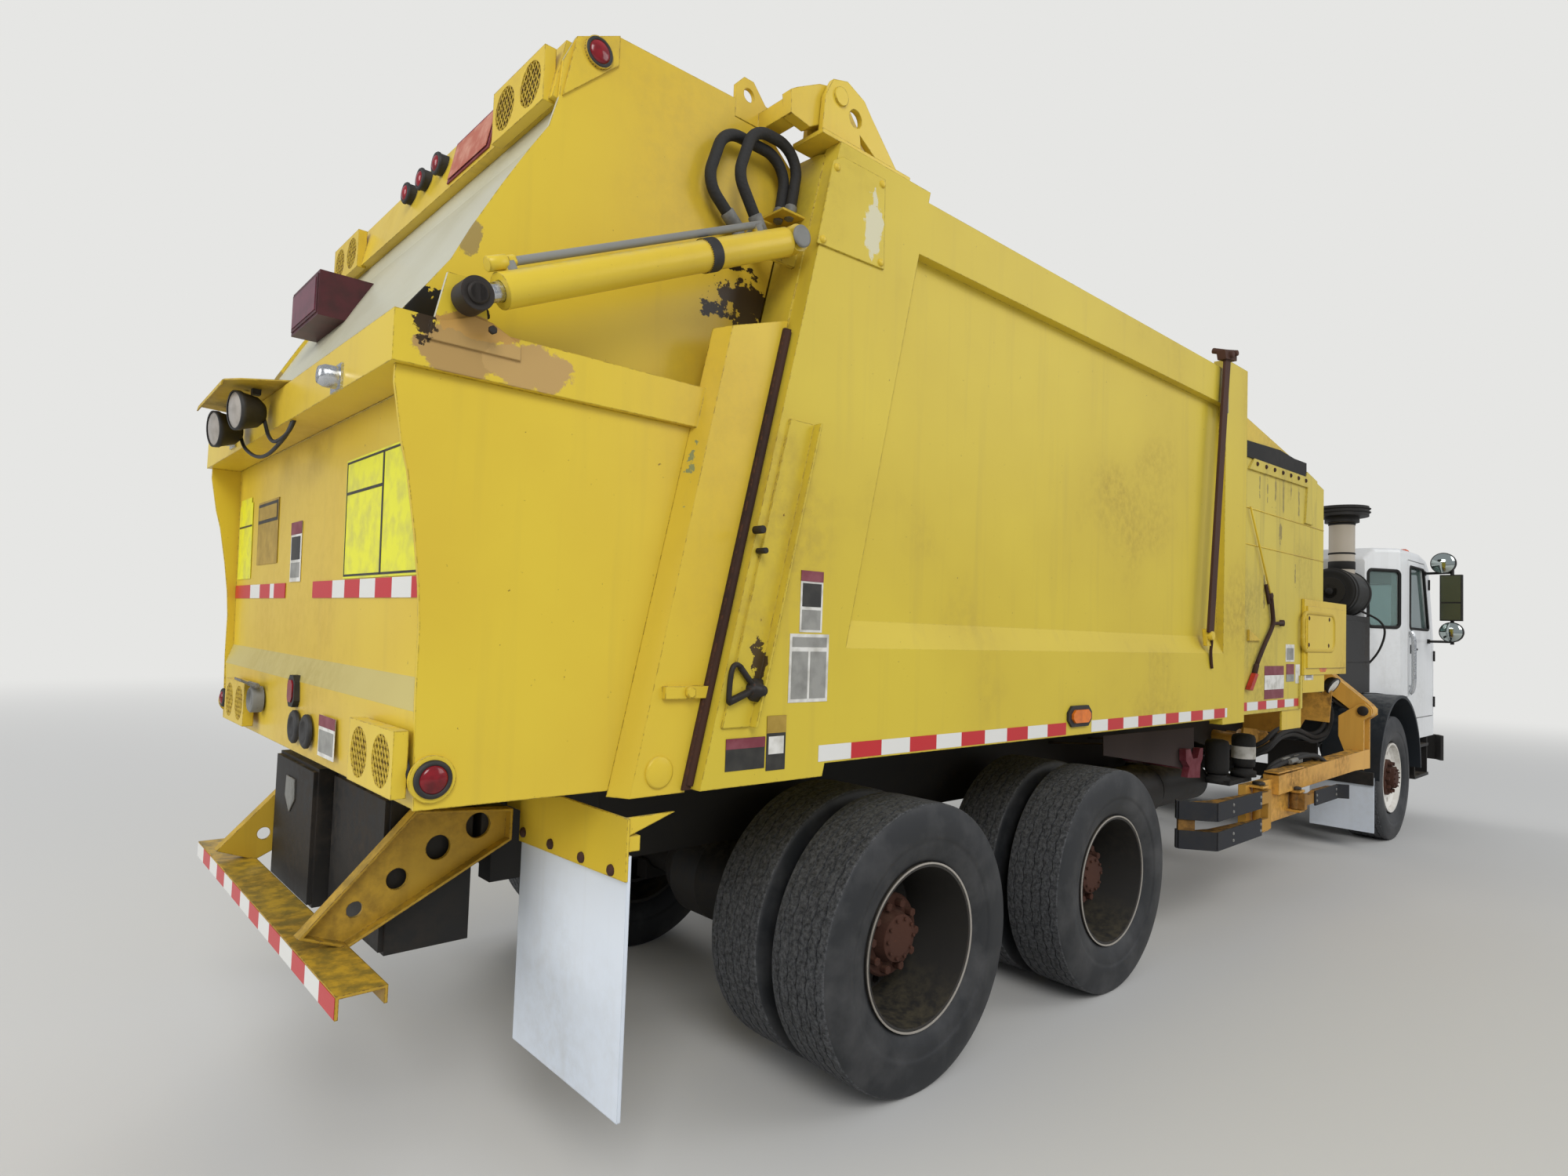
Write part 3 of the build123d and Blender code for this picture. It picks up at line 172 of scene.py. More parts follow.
def finished(name, body, slot, *materials, mirrored=False):
    """Makes a piece of the mesh in hand, with doubles merged and normals outward, and has it ride its body.

    What is drawn for a mirrored piece is first copied to the truck's other side."""
    if mirrored:
        made = bmesh.ops.duplicate(bm, geom=bm.verts[:] + bm.edges[:] + bm.faces[:])["geom"]
        copied = [part for part in made if isinstance(part, bmesh.types.BMVert)]
        bmesh.ops.scale(bm, vec=(1, -1, 1), verts=copied)
    bmesh.ops.remove_doubles(bm, verts=bm.verts, dist=0.00005)
    bmesh.ops.recalc_face_normals(bm, faces=bm.faces)
    mesh = bpy.data.meshes.new(name)
    bm.to_mesh(mesh)
    bm.clear()
    for material in materials:
        mesh.materials.append(material)
    piece = bpy.data.objects.new(name, mesh)
    bpy.context.scene.collection.objects.link(piece)
    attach(piece, body)
    return piece


sides = (("right", -1), ("left", 1))
front_axle_x, rear_axle_x = 3300, (-3120, -1720)
groove_depth, zigzag, tyre_steps = 9, 4.5, 176
# half of a tyre's outside, as shares of its width and millimetres inside its full radius
wall_shape = ((0.37, 217), (0.40, 205), (0.455, 176), (0.487, 140), (0.488, 128), (0.495, 126),
              (0.497, 112), (0.5, 100), (0.496, 74), (0.480, 42), (0.468, 30), (0.455, 14), (0.440, 6),
              (0.425, 2))
groove_shares = (0.31, 0.155, 0.0, -0.155, -0.31)
wheels = [(f"tyre_front_{n}", f"front_wheel_{n}", front_axle_x, (s * 992,), 312, 520) for n, s in sides]
wheels += [(f"tyres_rear_{i + 1}_{n}", f"rear_wheels_{i + 1}_{n}", x, (s * 1055, s * 725), 280, 505)
           for i, x in enumerate(rear_axle_x) for n, s in sides]
for name, body, x, middles, width, radius in wheels:
    for middle in middles:
        outline = [(middle + share * width, radius - deep) for share, deep in wall_shape]
        for share in groove_shares:
            for shift, deep in ((3.5, 0), (2.5, groove_depth), (-2.5, groove_depth), (-3.5, 0)):
                outline.append((middle + share * width + shift, radius - deep))
        outline += [(middle - share * width, radius - deep) for share, deep in reversed(wall_shape)]
        lathe(outline, x, radius, tyre_steps)
        for vert in bm.verts:
            from_middle = abs(vert.co.y * 1000 - middle) / width
            out = Vector((vert.co.x * 1000 - x, 0, vert.co.z * 1000 - radius))
            if from_middle < 0.34 and out.length > radius - groove_depth - 1:
                step = round(atan2(out.x, out.z) / (2 * pi) * tyre_steps) % 4
                vert.co.y += (0, zigzag, 0, -zigzag)[step] / 1000
    for face in bm.faces:
        place = face.calc_center_median() * 1000
        from_axle = Vector((place.x - x, 0, place.z - radius)).length
        face.material_index = int(from_axle > radius - groove_depth - 1)
        face.smooth = face.material_index == 0
    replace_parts(finished(name + "_rubber", body, "tyre", wall, tread), name)

# Wheels: pressed steel discs and rims. The rear ones are dark and dusty with a bright worn lip, the front
# ones white, and every hub has gone rusty round its ten nuts.


def painted(name, paint, grime, dust, gloss, rust=None, wear=0.0, streak=0.0, patches=(), soil=1.0):
    """Painted steel: two tones of paint, grime, rain streaks, dust on top, rust, worn edges and patches.

    A patch is (middle, half sizes, colour, ragged) in mm; ragged is how far noise breaks its edge."""
    material, tree, skin, place = new_material(name)
    normal = add_node(tree, "NewGeometry").outputs["Normal"]
    upward = add_node(tree, "SeparateXYZ", {0: normal}).outputs["Z"]
    wide = add_node(tree, "TexNoise", {"Vector": place, "Scale": 1000 / 900, "Detail": 4.0})
    fine = add_node(tree, "TexNoise", {"Vector": place, "Scale": 1000 / 45, "Detail": 6.0,
                                       "Roughness": 0.65})
    rounded = add_node(tree, "Bevel", {"Radius": 0.005}, samples=4)
    broken = add_node(tree, "MapRange", {0: fine, 1: 0.40, 2: 0.62, 4: soil})
    dirt = add_node(tree, "MapRange", {0: wide, 1: 0.52, 2: 0.80, 4: broken})
    # (how much shows, colour) of each coat, from the paint's second tone outward
    coats = [(add_node(tree, "MapRange", {0: wide, 1: 0.35, 2: 0.70}), paint[1]), (dirt, grime)]
    if streak:
        long = add_node(tree, "VectorMath", {0: place, 1: (1.0, 1.0, 0.06)}, operation="MULTIPLY")
        runs = add_node(tree, "TexNoise", {"Vector": long, "Scale": 1000 / 60, "Detail": 3.0})
        coats.append((add_node(tree, "MapRange", {0: runs, 1: 0.55, 2: 0.75, 4: streak}), grime))
    top = add_node(tree, "MapRange", {0: upward, 1: 0.5, 2: 1.0, 4: 0.7})
    coats.append((add_node(tree, "Math", {0: top, 1: broken}, operation="MULTIPLY"), dust))
    if rust:
        spots = add_node(tree, "TexNoise", {"Vector": place, "Scale": 1000 / 20, "Detail": 5.0,
                                            "Roughness": 0.7})
        flecks = add_node(tree, "MapRange", {0: spots, 1: 0.69, 2: 0.73})
        turn = add_node(tree, "VectorMath", {0: normal, 1: rounded},
                        operation="DOT_PRODUCT").outputs["Value"]
        edge = add_node(tree, "MapRange", {0: turn, 1: 0.99, 2: 0.90, 4: wear})
        chips = add_node(tree, "MapRange", {0: spots, 1: 0.50, 2: 0.56, 4: edge})
        coats.append((add_node(tree, "Math", {0: flecks, 1: chips}, operation="MAXIMUM"), rust))
    for middle, half, colour, ragged in patches:
        away = add_node(tree, "VectorMath", {0: place, 1: at(*middle)}, operation="SUBTRACT")
        away = add_node(tree, "VectorMath", {0: away, 1: at(*half)}, operation="DIVIDE")
        away = add_node(tree, "VectorMath", {0: away}, operation="LENGTH").outputs["Value"]
        rough = add_node(tree, "MapRange", {0: fine, 1: 0.3, 2: 0.7, 3: ragged, 4: -ragged})
        away = add_node(tree, "Math", {0: away, 1: rough}, operation="ADD")
        coats.append((add_node(tree, "MapRange", {0: away, 1: 1.05, 2: 0.97}), colour))
    tone = linear(paint[0])
    for share, colour in coats:
        tone = add_node(tree, "Mix", {0: share, 6: tone, 7: linear(colour)}, data_type="RGBA").outputs[2]
    dull = add_node(tree, "MapRange", {0: dirt, 3: gloss, 4: min(0.9, gloss + 0.35)})
    dents = add_node(tree, "Bump", {"Height": fine, "Strength": 0.25, "Distance": 0.0006,
                                    "Normal": rounded})
    fill(tree, skin, {"Base Color": tone, "Roughness": dull, "Specular IOR Level": 0.3, "Normal": dents})
    return material


def dress(material, *names):
    """Gives CAD nodes that stay as they are their finish."""
    for name in names:
        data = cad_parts[name].data
        data.materials.clear()
        data.materials.append(material)


dark_rim = painted("dark_dusty_rim_steel", ("33312E", "262523"), "463F37", "57503F", 0.5, "4A2C1C", 0.5)
white_rim = painted("white_chalky_rim_paint", ("E6E3DC", "DAD6CC"), "8E8272", "B5AB9A", 0.4, "6A3A22", 0.6)
rusty_hub = painted("rusty_hub_iron", ("4E2F23", "33221C"), "28211E", "5C4335", 0.85, "6B3A24", 0.3)
worn_lip = painted("bright_worn_rim_edge", ("A8A299", "8C867C"), "5A544B", "9A9284", 0.4)
dress(dark_rim, *(f"rims_rear_{number}_{name}" for number in (1, 2) for name, side in sides))
dress(white_rim, "rim_front_right", "rim_front_left")
nut_circle, nut_count = 118, 10


def nut(place, way, across, length):
    """A hexagon nut with chamfered corners, standing at a place in mm along the way given."""
    turn = Vector(way).to_track_quat("Z", "Y").to_matrix().to_4x4()
    move = Matrix.Translation(at(*place) + Vector(way).normalized() * length / 2000)
    made = bmesh.ops.create_cone(bm, cap_ends=True, segments=6, radius1=across / 2000,
                                 radius2=across / 2000, depth=length / 1000, matrix=move @ turn)
    rims = list({e for v in made["verts"] for e in v.link_edges})
    bmesh.ops.bevel(bm, geom=rims, offset=across / 14000, affect="EDGES", segments=1, profile=0.5,
                    material=-1)


# (wheel body, its middle in x and height, which side, where the hub's face is, how far the cap goes, slot)
hubs = [(f"front_wheel_{n}", front_axle_x, 520, s, 1088, 62, "white_rim") for n, s in sides]
hubs += [(f"rear_wheels_{i + 1}_{n}", x, 505, s, 1008, 60, "rear_rim")
         for i, x in enumerate(rear_axle_x) for n, s in sides]
for body, x, z, side, face, cap, slot in hubs:
    lathe([(side * (face + out), radius) for out, radius in (
        (-20, 90), (-20, 150), (6, 150), (14, 142), (14, 96), (cap, 84), (cap + 6, 60), (cap + 6, 1),
        (cap - 8, 1), (cap - 8, 50))], x, z, 40)
    for number in range(nut_count):
        angle = 2 * pi * number / nut_count
        for circle, out, across, length in ((nut_circle, 13, 34, 30), (70, cap + 5, 14, 8)):
            nut((x + circle * cos(angle), side * (face + out), z + circle * sin(angle)), (0, side, 0),
                across, length)
    finished(body + "_hub", body, slot, rusty_hub)
    if slot == "rear_rim":
        lathe([(side * 1171, 293), (side * 1176, 294), (side * 1176, 287), (side * 1171, 286)], x, z, 96)
        finished(body + "_lip", body, slot, worn_lip)

# Running gear: black-painted rails, axles, springs and brackets under a coat of road dust.
# The paint is thin and dull, so dust settles pale on everything that faces up.
chassis_black = painted("dusty_black_chassis_paint", ("262422", "1B1A19"), "40382F", "6A6152", 0.55,
                        "3A2418", 0.3)
dress(chassis_black, "chassis_frame", "front_axle", "rear_axles", "suspension", "prop_shafts",
      "engine_block", "cooling_housing", "air_cleaner", "tanks", "tool_boxes", "cab_steps",
      "knuckle_right", "knuckle_left", "hoist_barrel", "hoist_sleeve", "hoist_rod", "cab_interior",
      "front_bumper", "mirror_right", "mirror_left")

# Fenders: black plastic arches over the front wheels, moulded in one piece with a rolled edge.
# They keep a cool satin black where the frame has gone brown with dust.
dress(painted("satin_black_fender_plastic", ("23282D", "1D2125"), "2C2C2B", "5C5D5C", 0.45), "fenders")

# Body, tailgate and hopper: welded sheet steel in lemon-yellow enamel, with a painted sky reflection at the
# back.
# Rain has left faint streaks, and the edges are chipped to brown steel.
body_yellow = painted("lemon_yellow_body_enamel", ("DCC03C", "D2B138"), "A78E44", "C9BC86", 0.3, "5F3A20",
                      0.8, 0.15)
dress(body_yellow, "body_hinges", "hopper_hood", "service_box", "cylinder_barrel_right",
      "cylinder_barrel_left", "mud_flaps", "light_bar")
dress(painted("amber_yellow_grimy_bumper", ("C9A632", "B08A2E"), "5C4624", "7A692E", 0.45, "4A3020", 1.0,
              0.2, soil=1.3), "rear_bumper")


def marks(y, deep, *rows):
    """Patches on both sides of the truck, from rows of (x, z, half width, half height, colour, ragged)."""
    return [((x, side * y, z), (wide, deep, tall), colour, ragged)
            for name, side in sides for x, z, wide, tall, colour, ragged in rows]


# the body is chalked on its cover plate and oily by the prop, the bin scratched where refuse slides in
body_marks = marks(1211, 20, (-3530, 2955, 40, 95, "CFC9A8", 0.5), (-3960, 1520, 30, 60, "4A3A22", 0.9))
dress(painted("lemon_yellow_scuffed_body", ("D2BB3C", "C7AE38"), "A78E44", "C9BC86", 0.45, "5F3A20", 0.8,
              0.15, body_marks), "body_shell")
scratches = ((60, 2600, 9, 80), (190, 2570, 8, 60), (330, 2590, 12, 90), (470, 2550, 10, 110),
             (610, 2600, 9, 70), (760, 2560, 11, 90), (420, 2330, 24, 60), (150, 1950, 14, 110),
             (700, 2080, 10, 70))
dress(painted("lemon_yellow_scratched_bin", ("CFBB4E", "C3AE49"), "96864A", "B9AD80", 0.5, "5F3A20", 1.0,
              0.35, marks(1175, 30, *((*scratch, "8F7F45", 0.9) for scratch in scratches))), "hopper")
# repairs to the tailgate: black overspray by the rod eyes and posts, brown worn paint, primer on the belt
gate_marks = marks(1001, 40, (-4890, 2365, 75, 50, "1D1B18", 0.7), (-4795, 2400, 60, 30, "1D1B18", 0.5),
                   (-4796, 2580, 34, 52, "A58F52", 0.3), (-3885, 2650, 105, 75, "3B2D1B", 0.8),
                   (-4030, 2600, 45, 25, "2A221A", 0.8), (-3960, 2760, 60, 18, "2A221A", 0.9))
belt_marks = marks(1112, 12, (-4840, 2246, 110, 62, "B08F57", 0.25),
                   (-4680, 2246, 118, 58, "BC9A60", 0.25), (-4800, 2310, 110, 30, "BE9450", 0.3),
                   (-4935, 2288, 24, 30, "3B2D1B", 0.8), (-4010, 2440, 40, 60, "6A4A26", 1.0),
                   (-4160, 1900, 22, 160, "8A8F62", 1.2))
# sheets that lean back get a painted sky reflection: pale on the upper sheet, a paler yellow on the crease
sky_sheen_paint = painted("painted_sky_sheen_pale_sheet", ("C6C4B0", "B8B498"), "9A9574", "CCCABC", 0.35, soil=0.5)
sky_sheen_crease_paint = painted("painted_sky_sheen_yellow_crease", ("C3B56E", "B8A860"), "9A8A50", "C4B880", 0.35,
                         soil=0.5)
for node, name, patches in (("tailgate_shell", "lemon_yellow_patched_tailgate", gate_marks),
                            ("tailgate_belt", "lemon_yellow_primed_belt", belt_marks)):
    dress(painted(name, ("DCC03C", "D2B138"), "A78E44", "C9BC86", 0.3, "5F3A20", 0.8, 0.12, patches, 0.3),
          node)
    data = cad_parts[node].data
    data.materials.append(sky_sheen_paint)
    data.materials.append(sky_sheen_crease_paint)
    # faces that lean back take the painted sky reflection, the pale one above 2.2 m and the crease's one
    # below
    for face in data.polygons:
        leans_back = face.normal.x < -0.2 and face.normal.z > 0.12 and abs(face.normal.y) < 0.3
        if leans_back and face.center.x < -4.4:
            face.material_index = 1 if face.center.z > 2.2 else 2

# Mud flaps: white rubber sheets, under yellow plates at the back and black ones behind the front wheels.
# The sheets are plain and clean enough to read as flat white against the dark wheels.
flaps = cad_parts["mud_flaps"].data
flaps.materials.append(painted("white_rubber_flap", ("DCE3EC", "D3DBE5"), "B9B9B6", "CBCAC6", 0.5,
                               streak=0.15, soil=0.4))
flaps.materials.append(chassis_black)
front_plate_x, rear_sheet_x, rear_plate_foot = 2.469, (-4.353, -4.339), 1.001
for face in flaps.polygons:
    if face.center.x > 0:
        face.material_index = 2 if face.center.x < front_plate_x else 1
    elif rear_sheet_x[0] < face.center.x < rear_sheet_x[1] and face.center.z < rear_plate_foot:
        face.material_index = 1

# Cylinders and hoses: chromed rods, black hoses in woven sleeves.
# The chrome is bright but pitted, and the hoses are dull, so they part clearly from the paint.
chrome, tree, skin, place = new_material("pitted_rod_chrome")
pits = add_node(tree, "TexNoise", {"Vector": place, "Scale": 1000 / 8, "Detail": 4.0})
dull = add_node(tree, "MapRange", {0: pits, 1: 0.45, 2: 0.7, 3: 0.18, 4: 0.5})
fill(tree, skin, {"Base Color": linear("C4C6C8"), "Metallic": 1.0, "Roughness": dull})
dress(chrome, "cylinder_rod_right", "cylinder_rod_left")
hose_black, tree, skin, place = new_material("woven_black_hose_sleeve")
weave = add_node(tree, "TexNoise", {"Vector": place, "Scale": 1000 / 9, "Detail": 3.0})
ridges = add_node(tree, "Bump", {"Height": weave, "Strength": 0.8, "Distance": 0.003})
fill(tree, skin, {"Base Color": linear("242322"), "Roughness": 0.8, "Normal": ridges})
dress(hose_black, "gate_hoses")

# Arm: flat steel links in an orange-yellow enamel, much scraped and oily, with dark grime in the corners.
# Bins rub the fingers and the beam, so their edges are bare and brown.
arm_yellow = painted("scraped_orange_arm_enamel", ("DBA84C", "CC9640"), "4E3A22", "5A4A34", 0.45,
                     "4A2A18", 1.0, 0.12, soil=1.3)
dress(arm_yellow, "arm_base", "boom", "forearm")
dress(painted("rusty_orange_finger_enamel", ("BD8E38", "7A5428"), "2A211A", "4A3C2A", 0.6, "3A2318", 1.0,
              soil=1.5), "finger_rear", "finger_front")

# Cab: white enamel over pressed panels and teal-tinted windows.
# The enamel is a little chalky, with grey dust in the joints, and the glass shows a dim interior.
dress(painted("white_cab_enamel", ("E9EAEA", "E0E1E0"), "B3AFA6", "D0CCC2", 0.3, "7A5A40", 0.3, 0.12,
              soil=0.5), "cab_shell", "door_right", "door_left")
glazing, tree, skin, place = new_material("teal_tinted_window_glass")
fill(tree, skin, {"Base Color": linear("BFD6D1"), "Roughness": 0.03, "Transmission Weight": 0.85,
                  "IOR": 1.45})
dress(glazing, "cab_glass", "door_glass_right", "door_glass_left")

# Seal bars: a flat steel bar with a round one on it, in the slanting gap between each post and the tailgate.
# The paint is long gone from them, so a deep brown rust line runs the height of the side.
rust_bar = painted("rusty_brown_seal_bar", ("4A3026", "33231D"), "251D19", "5E4638", 0.8, "6E4226", 0.5)


def slab(corners, way, thick, paint=0):
    """A flat sheet through corners in mm, thickened along a way by so many mm, with a material's number."""
    face = bm.faces.new([bm.verts.new(at(*corner)) for corner in corners])
    face.material_index = paint
    grown = bmesh.ops.extrude_face_region(bm, geom=[face])["geom"]
    bmesh.ops.translate(bm, verts=[g for g in grown if isinstance(g, bmesh.types.BMVert)],
                        vec=Vector(way) * thick / 1000)


def rod(start, end, radius, around=12, paint=0):
    """A round bar between two places in mm, with its ends slightly chamfered."""
    a, b = at(*start), at(*end)
    turn = (b - a).to_track_quat("Z", "Y").to_matrix().to_4x4()
    made = bmesh.ops.create_cone(bm, cap_ends=True, segments=around, radius1=radius / 1000,
                                 radius2=radius / 1000, depth=(b - a).length,
                                 matrix=Matrix.Translation((a + b) / 2) @ turn)
    faces = {face for vert in made["verts"] for face in vert.link_faces}
    caps = [face for face in faces if len(face.verts) == around]
    for face in faces:
        face.material_index = paint
        face.smooth = face not in caps
    bmesh.ops.bevel(bm, geom=list({e for face in caps for e in face.edges}), offset=radius / 8000,
                    affect="EDGES", segments=1, profile=0.5, material=-1)


slab([(-4186, 1150, 1158), (-4142, 1150, 1158), (-3838, 1150, 2545), (-3866, 1150, 2545)], (0, 1, 0), 12)
rod((-4166, 1162, 1170), (-3854, 1162, 2535), 12)
finished("seal_bars", "refuse_body", "body_paint", rust_bar, mirrored=True)

# Reflective tape: bands of red and white film along the sides, the tailgate and the bumper.
# The film is printed with small cells that give it a faint sparkle.
tape = []
for name, code in (("red_reflective_tape", "BE2026"), ("white_reflective_tape", "DEDDD8")):
    material, tree, skin, place = new_material(name)
    cells = add_node(tree, "TexVoronoi", {"Vector": place, "Scale": 1000 / 5})
    facets = add_node(tree, "Bump", {"Height": cells, "Strength": 0.3, "Distance": 0.0004})
    fill(tree, skin, {"Base Color": linear(code), "Roughness": 0.35, "Normal": facets})
    tape.append(material)


def box(low, high, paint=0):
    """A plain block between two opposite corners in mm."""
    a, b = at(*low), at(*high)
    made = bmesh.ops.create_cube(bm, size=1,
                                 matrix=Matrix.Translation((a + b) / 2) @ Matrix.Diagonal((*(b - a), 1)))
    for face in {face for vert in made["verts"] for face in vert.link_faces}:
        face.material_index = paint


def gate_x(z):
    """Where the tailgate's rear sheet stands at a height: it bends at 1470 mm and again at 1395 mm."""
    return -4873 - 10 * (z - 1470) / 720 if z > 1470 else -4872 - 25 * (1470 - z) / 75 if z > 1395 else -4898


def rear_panel(y_from, y_to, z_from, z_to, proud, paint=0):
    """A plain rectangle standing off the tailgate's rear sheet."""
    low, high = gate_x(z_from) - proud, gate_x(z_to) - proud
    slab([(low, y_from, z_from), (low, y_to, z_from), (high, y_to, z_to), (high, y_from, z_to)],
         (1, 0, 0), 1.5, paint)


tape_step = 148
hopper_cuts = (-161, -112, 60, 200, 390, 520, 690, 778)
for first, pieces in ((-3705, 10), (-2010, 11)):
    for number in range(pieces):
        start = first + tape_step * number
        box((start, 1205.5, 1206), (min(start + tape_step, -500), 1206.5, 1257), (number + 1) % 2)
for number, (start, end) in enumerate(zip(hopper_cuts, hopper_cuts[1:])):
    box((start, 1170.5, 1222), (end, 1171.5, 1272), number % 2)
finished("side_tape", "refuse_body", "body_paint", *tape, mirrored=True)
for cuts in ((-1076, -960, -820, -690, -560, -420, -300, -85), (262, 420, 480, 640, 800, 1076)):
    for number, (start, end) in enumerate(zip(cuts, cuts[1:])):
        rear_panel(start, end, 1661, 1713, 2, number % 2)
finished("rear_tape", "tailgate", "body_paint", *tape)
bumper_step, bumper_end = 129, 898
for number in range(14):
    start = bumper_step * number - bumper_end
    box((-4980.5, start, 657), (-4981.5, min(start + bumper_step, bumper_end), 708), number % 2)
finished("bumper_tape", "chassis", "body_paint", *tape)

# Signs and labels: coloured plates and films on the tailgate and sides, some of them worn.
# Their words and pictures are left off, and only their fields, frames and colours show.
finishes = {}
for name, code, worn, gloss in (
        ("fluorescent_yellow_sign", "E6E42A", "CFCB4A", 0.4), ("black_sign_ink", "23221F", "35332E", 0.5),
        ("dull_gold_sign", "9C7F2A", "B0913A", 0.5), ("white_label_film", "DEDCD6", "B9B6AC", 0.45),
        ("dark_red_label_ink", "742A36", "84444E", 0.5), ("grey_label_print", "94938D", "7E7D78", 0.5),
        ("faded_salmon_plate", "AE5F49", "C68A74", 0.55), ("amber_lens", "E0761A", "C4641A", 0.2),
        ("dark_red_lens", "8E0F1C", "5C0A12", 0.15), ("maroon_lamp_box", "4A131D", "391016", 0.4),
        ("dusky_red_lamp_face", "6A2C3C", "58202F", 0.3), ("black_lamp_rubber", "201F1E", "2E2C2A", 0.6),
        ("pale_lamp_glass", "C9CCCB", "A8ACAB", 0.12), ("orange_lens", "D9571B", "B8441A", 0.2),
        ("dusty_lamp_glass", "A39C93", "8E877E", 0.25), ("red_grip_plastic", "B22A1E", "8E2418", 0.45)):
    material, tree, skin, place = new_material(name)
    cloud = add_node(tree, "TexNoise", {"Vector": place, "Scale": 1000 / 50, "Detail": 6.0})
    share = add_node(tree, "MapRange", {0: cloud, 1: 0.42, 2: 0.68})
    tone = add_node(tree, "Mix", {0: share, 6: linear(code), 7: linear(worn)}, data_type="RGBA")
    fill(tree, skin, {"Base Color": tone.outputs[2], "Roughness": gloss})
    finishes[name] = material
inks = list(finishes.values())[:6]
# (y from, y to, z from, z to, proud, ink)
for sign in ((-1000, -400, 1716, 2060, 2, 0), (-729, -717, 1722, 2054, 3, 1),
             (-717, -406, 1958, 1966, 3, 1), (-994, -406, 1722, 1728, 3, 1),
             (-994, -406, 2048, 2054, 3, 1), (-412, -406, 1722, 2054, 3, 1),
             (-994, -988, 1722, 2054, 3, 1), (400, 716, 1788, 2026, 2, 2), (408, 708, 1944, 2018, 3, 1),
             (420, 696, 1956, 2006, 4, 2), (816, 1050, 1738, 2040, 2, 0), (822, 1044, 1946, 1953, 3, 1),
             (840, 1030, 2040, 2062, 2, 0), (72, 206, 1716, 1918, 2, 3), (72, 206, 1876, 1918, 3, 4),
             (84, 194, 1790, 1868, 3, 1), (84, 194, 1730, 1780, 3, 5), (-490, -332, 1200, 1318, 3, 3),
             (-490, -332, 1286, 1318, 4, 4), (-480, -342, 1212, 1276, 4, 5)):
    rear_panel(*sign)
finished("rear_signs", "tailgate", "body_paint", *inks)
# for each y of a side's sheet, the signs on it: (x from, x to, z from, z to, proud, ink)
side_signs = ((1205.5, ((-3804, -3708, 1607, 1797, 1, 3), (-3804, -3708, 1764, 1797, 2, 4),
                        (-3796, -3716, 1686, 1758, 2, 1), (-3796, -3716, 1615, 1676, 2, 5),
                        (-3842, -3675, 1393, 1602, 1, 3), (-3832, -3685, 1562, 1592, 2, 5),
                        (-3832, -3764, 1404, 1548, 2, 5), (-3754, -3685, 1404, 1548, 2, 5),
                        (-4075, -3928, 1206, 1298, 1, 1), (-4075, -3928, 1268, 1298, 2, 4),
                        (-3922, -3846, 1196, 1357, 1, 1), (-3922, -3846, 1306, 1357, 2, 2),
                        (-3914, -3854, 1244, 1296, 2, 3))),
              (1170.5, ((165, 500, 1282, 1486, 1, 4), (165, 500, 1340, 1428, 2, 3),
                        (545, 690, 1400, 1497, 1, 4), (545, 690, 1384, 1430, 2, 5),
                        (716, 800, 1370, 1494, 1, 3), (532, 692, 1512, 1624, 1, 3),
                        (548, 676, 1524, 1600, 2, 5))),
              (1182.5, ((852, 1030, 1390, 1484, 1, 3), (884, 998, 1404, 1470, 2, 5))),
              (1190.5, ((1478, 1620, 1753, 1838, 1, 3), (1496, 1602, 1766, 1812, 2, 5))))
for y, signs in side_signs:
    for x_from, x_to, z_from, z_to, proud, ink in signs:
        box((x_from, y, z_from), (x_to, y + proud, z_to), ink)
finished("side_signs", "refuse_body", "body_paint", *inks, mirrored=True)

# Tail lamps: round red lenses in black rubber rings, grouped on the tailgate, with guards of expanded mesh.
# The lenses are dark when unlit, and the mesh is painted yellow with the rest.


def spun(place, way, outline, around=32, paint=0):
    """Spins (radius, along) points in mm about an axis that starts at a place and points the way given."""
    line = [bm.verts.new((radius / 1000, 0, along / 1000)) for radius, along in outline]
    edges = [bm.edges.new(pair) for pair in zip(line, line[1:])]
    before = set(bm.faces)
    bmesh.ops.spin(bm, geom=line + edges, cent=(0, 0, 0), axis=(0, 0, 1), angle=2 * pi, steps=around,
                   use_merge=True)
    faces = [face for face in bm.faces if face not in before]
    for face in faces:
        face.material_index = paint
        face.smooth = True
    turn = Vector(way).to_track_quat("Z", "Y").to_matrix().to_4x4()
    bmesh.ops.transform(bm, matrix=Matrix.Translation(at(*place)) @ turn,
                        verts=list({v for face in faces for v in face.verts}))


red_lens, lamp_rubber = finishes["dark_red_lens"], finishes["black_lamp_rubber"]
bar_lamps_y, bar_lamps_z = (-156, -6, 139), 3160
# (place, way, radius): three on the light bar, two on its corners, two low on the sides and two on the back
red_lamps = [((-4586, y, bar_lamps_z), (-1, 0, 0), 27) for y in bar_lamps_y]
for name, side in sides:
    red_lamps += [((-4463, side * 1006, 3205), (0, side, 0), 32),
                  ((-4855, side * 1099, 1240), (0, side, 0), 33),
                  ((-4900, side * 1043, 1254), (-1, 0, 0), 26)]
for place, way, r in red_lamps:
    spun(place, way, [(r + 12, 0), (r + 12, 5), (r + 8, 10), (r + 1, 10), (r - 1, 6)], paint=1)
    spun(place, way, [(r + 1, 5), (r - 1, 10), (0.8 * r, 13), (0.45 * r, 16), (0.15 * r, 17.5),
                      (0.01, 18)])


def cut_corners(half_x, half_z, cut_x, cut_z):
    """The eight corners of a rectangle with its corners cut off, as (across, up) from its middle."""
    return [(a * (half_x - cut_x * b), c * (half_z - cut_z * (1 - b))) for a, b, c in (
        (-1, 0, -1), (-1, 1, -1), (1, 1, -1), (1, 0, -1), (1, 0, 1), (1, 1, 1), (-1, 1, 1), (-1, 0, 1))]


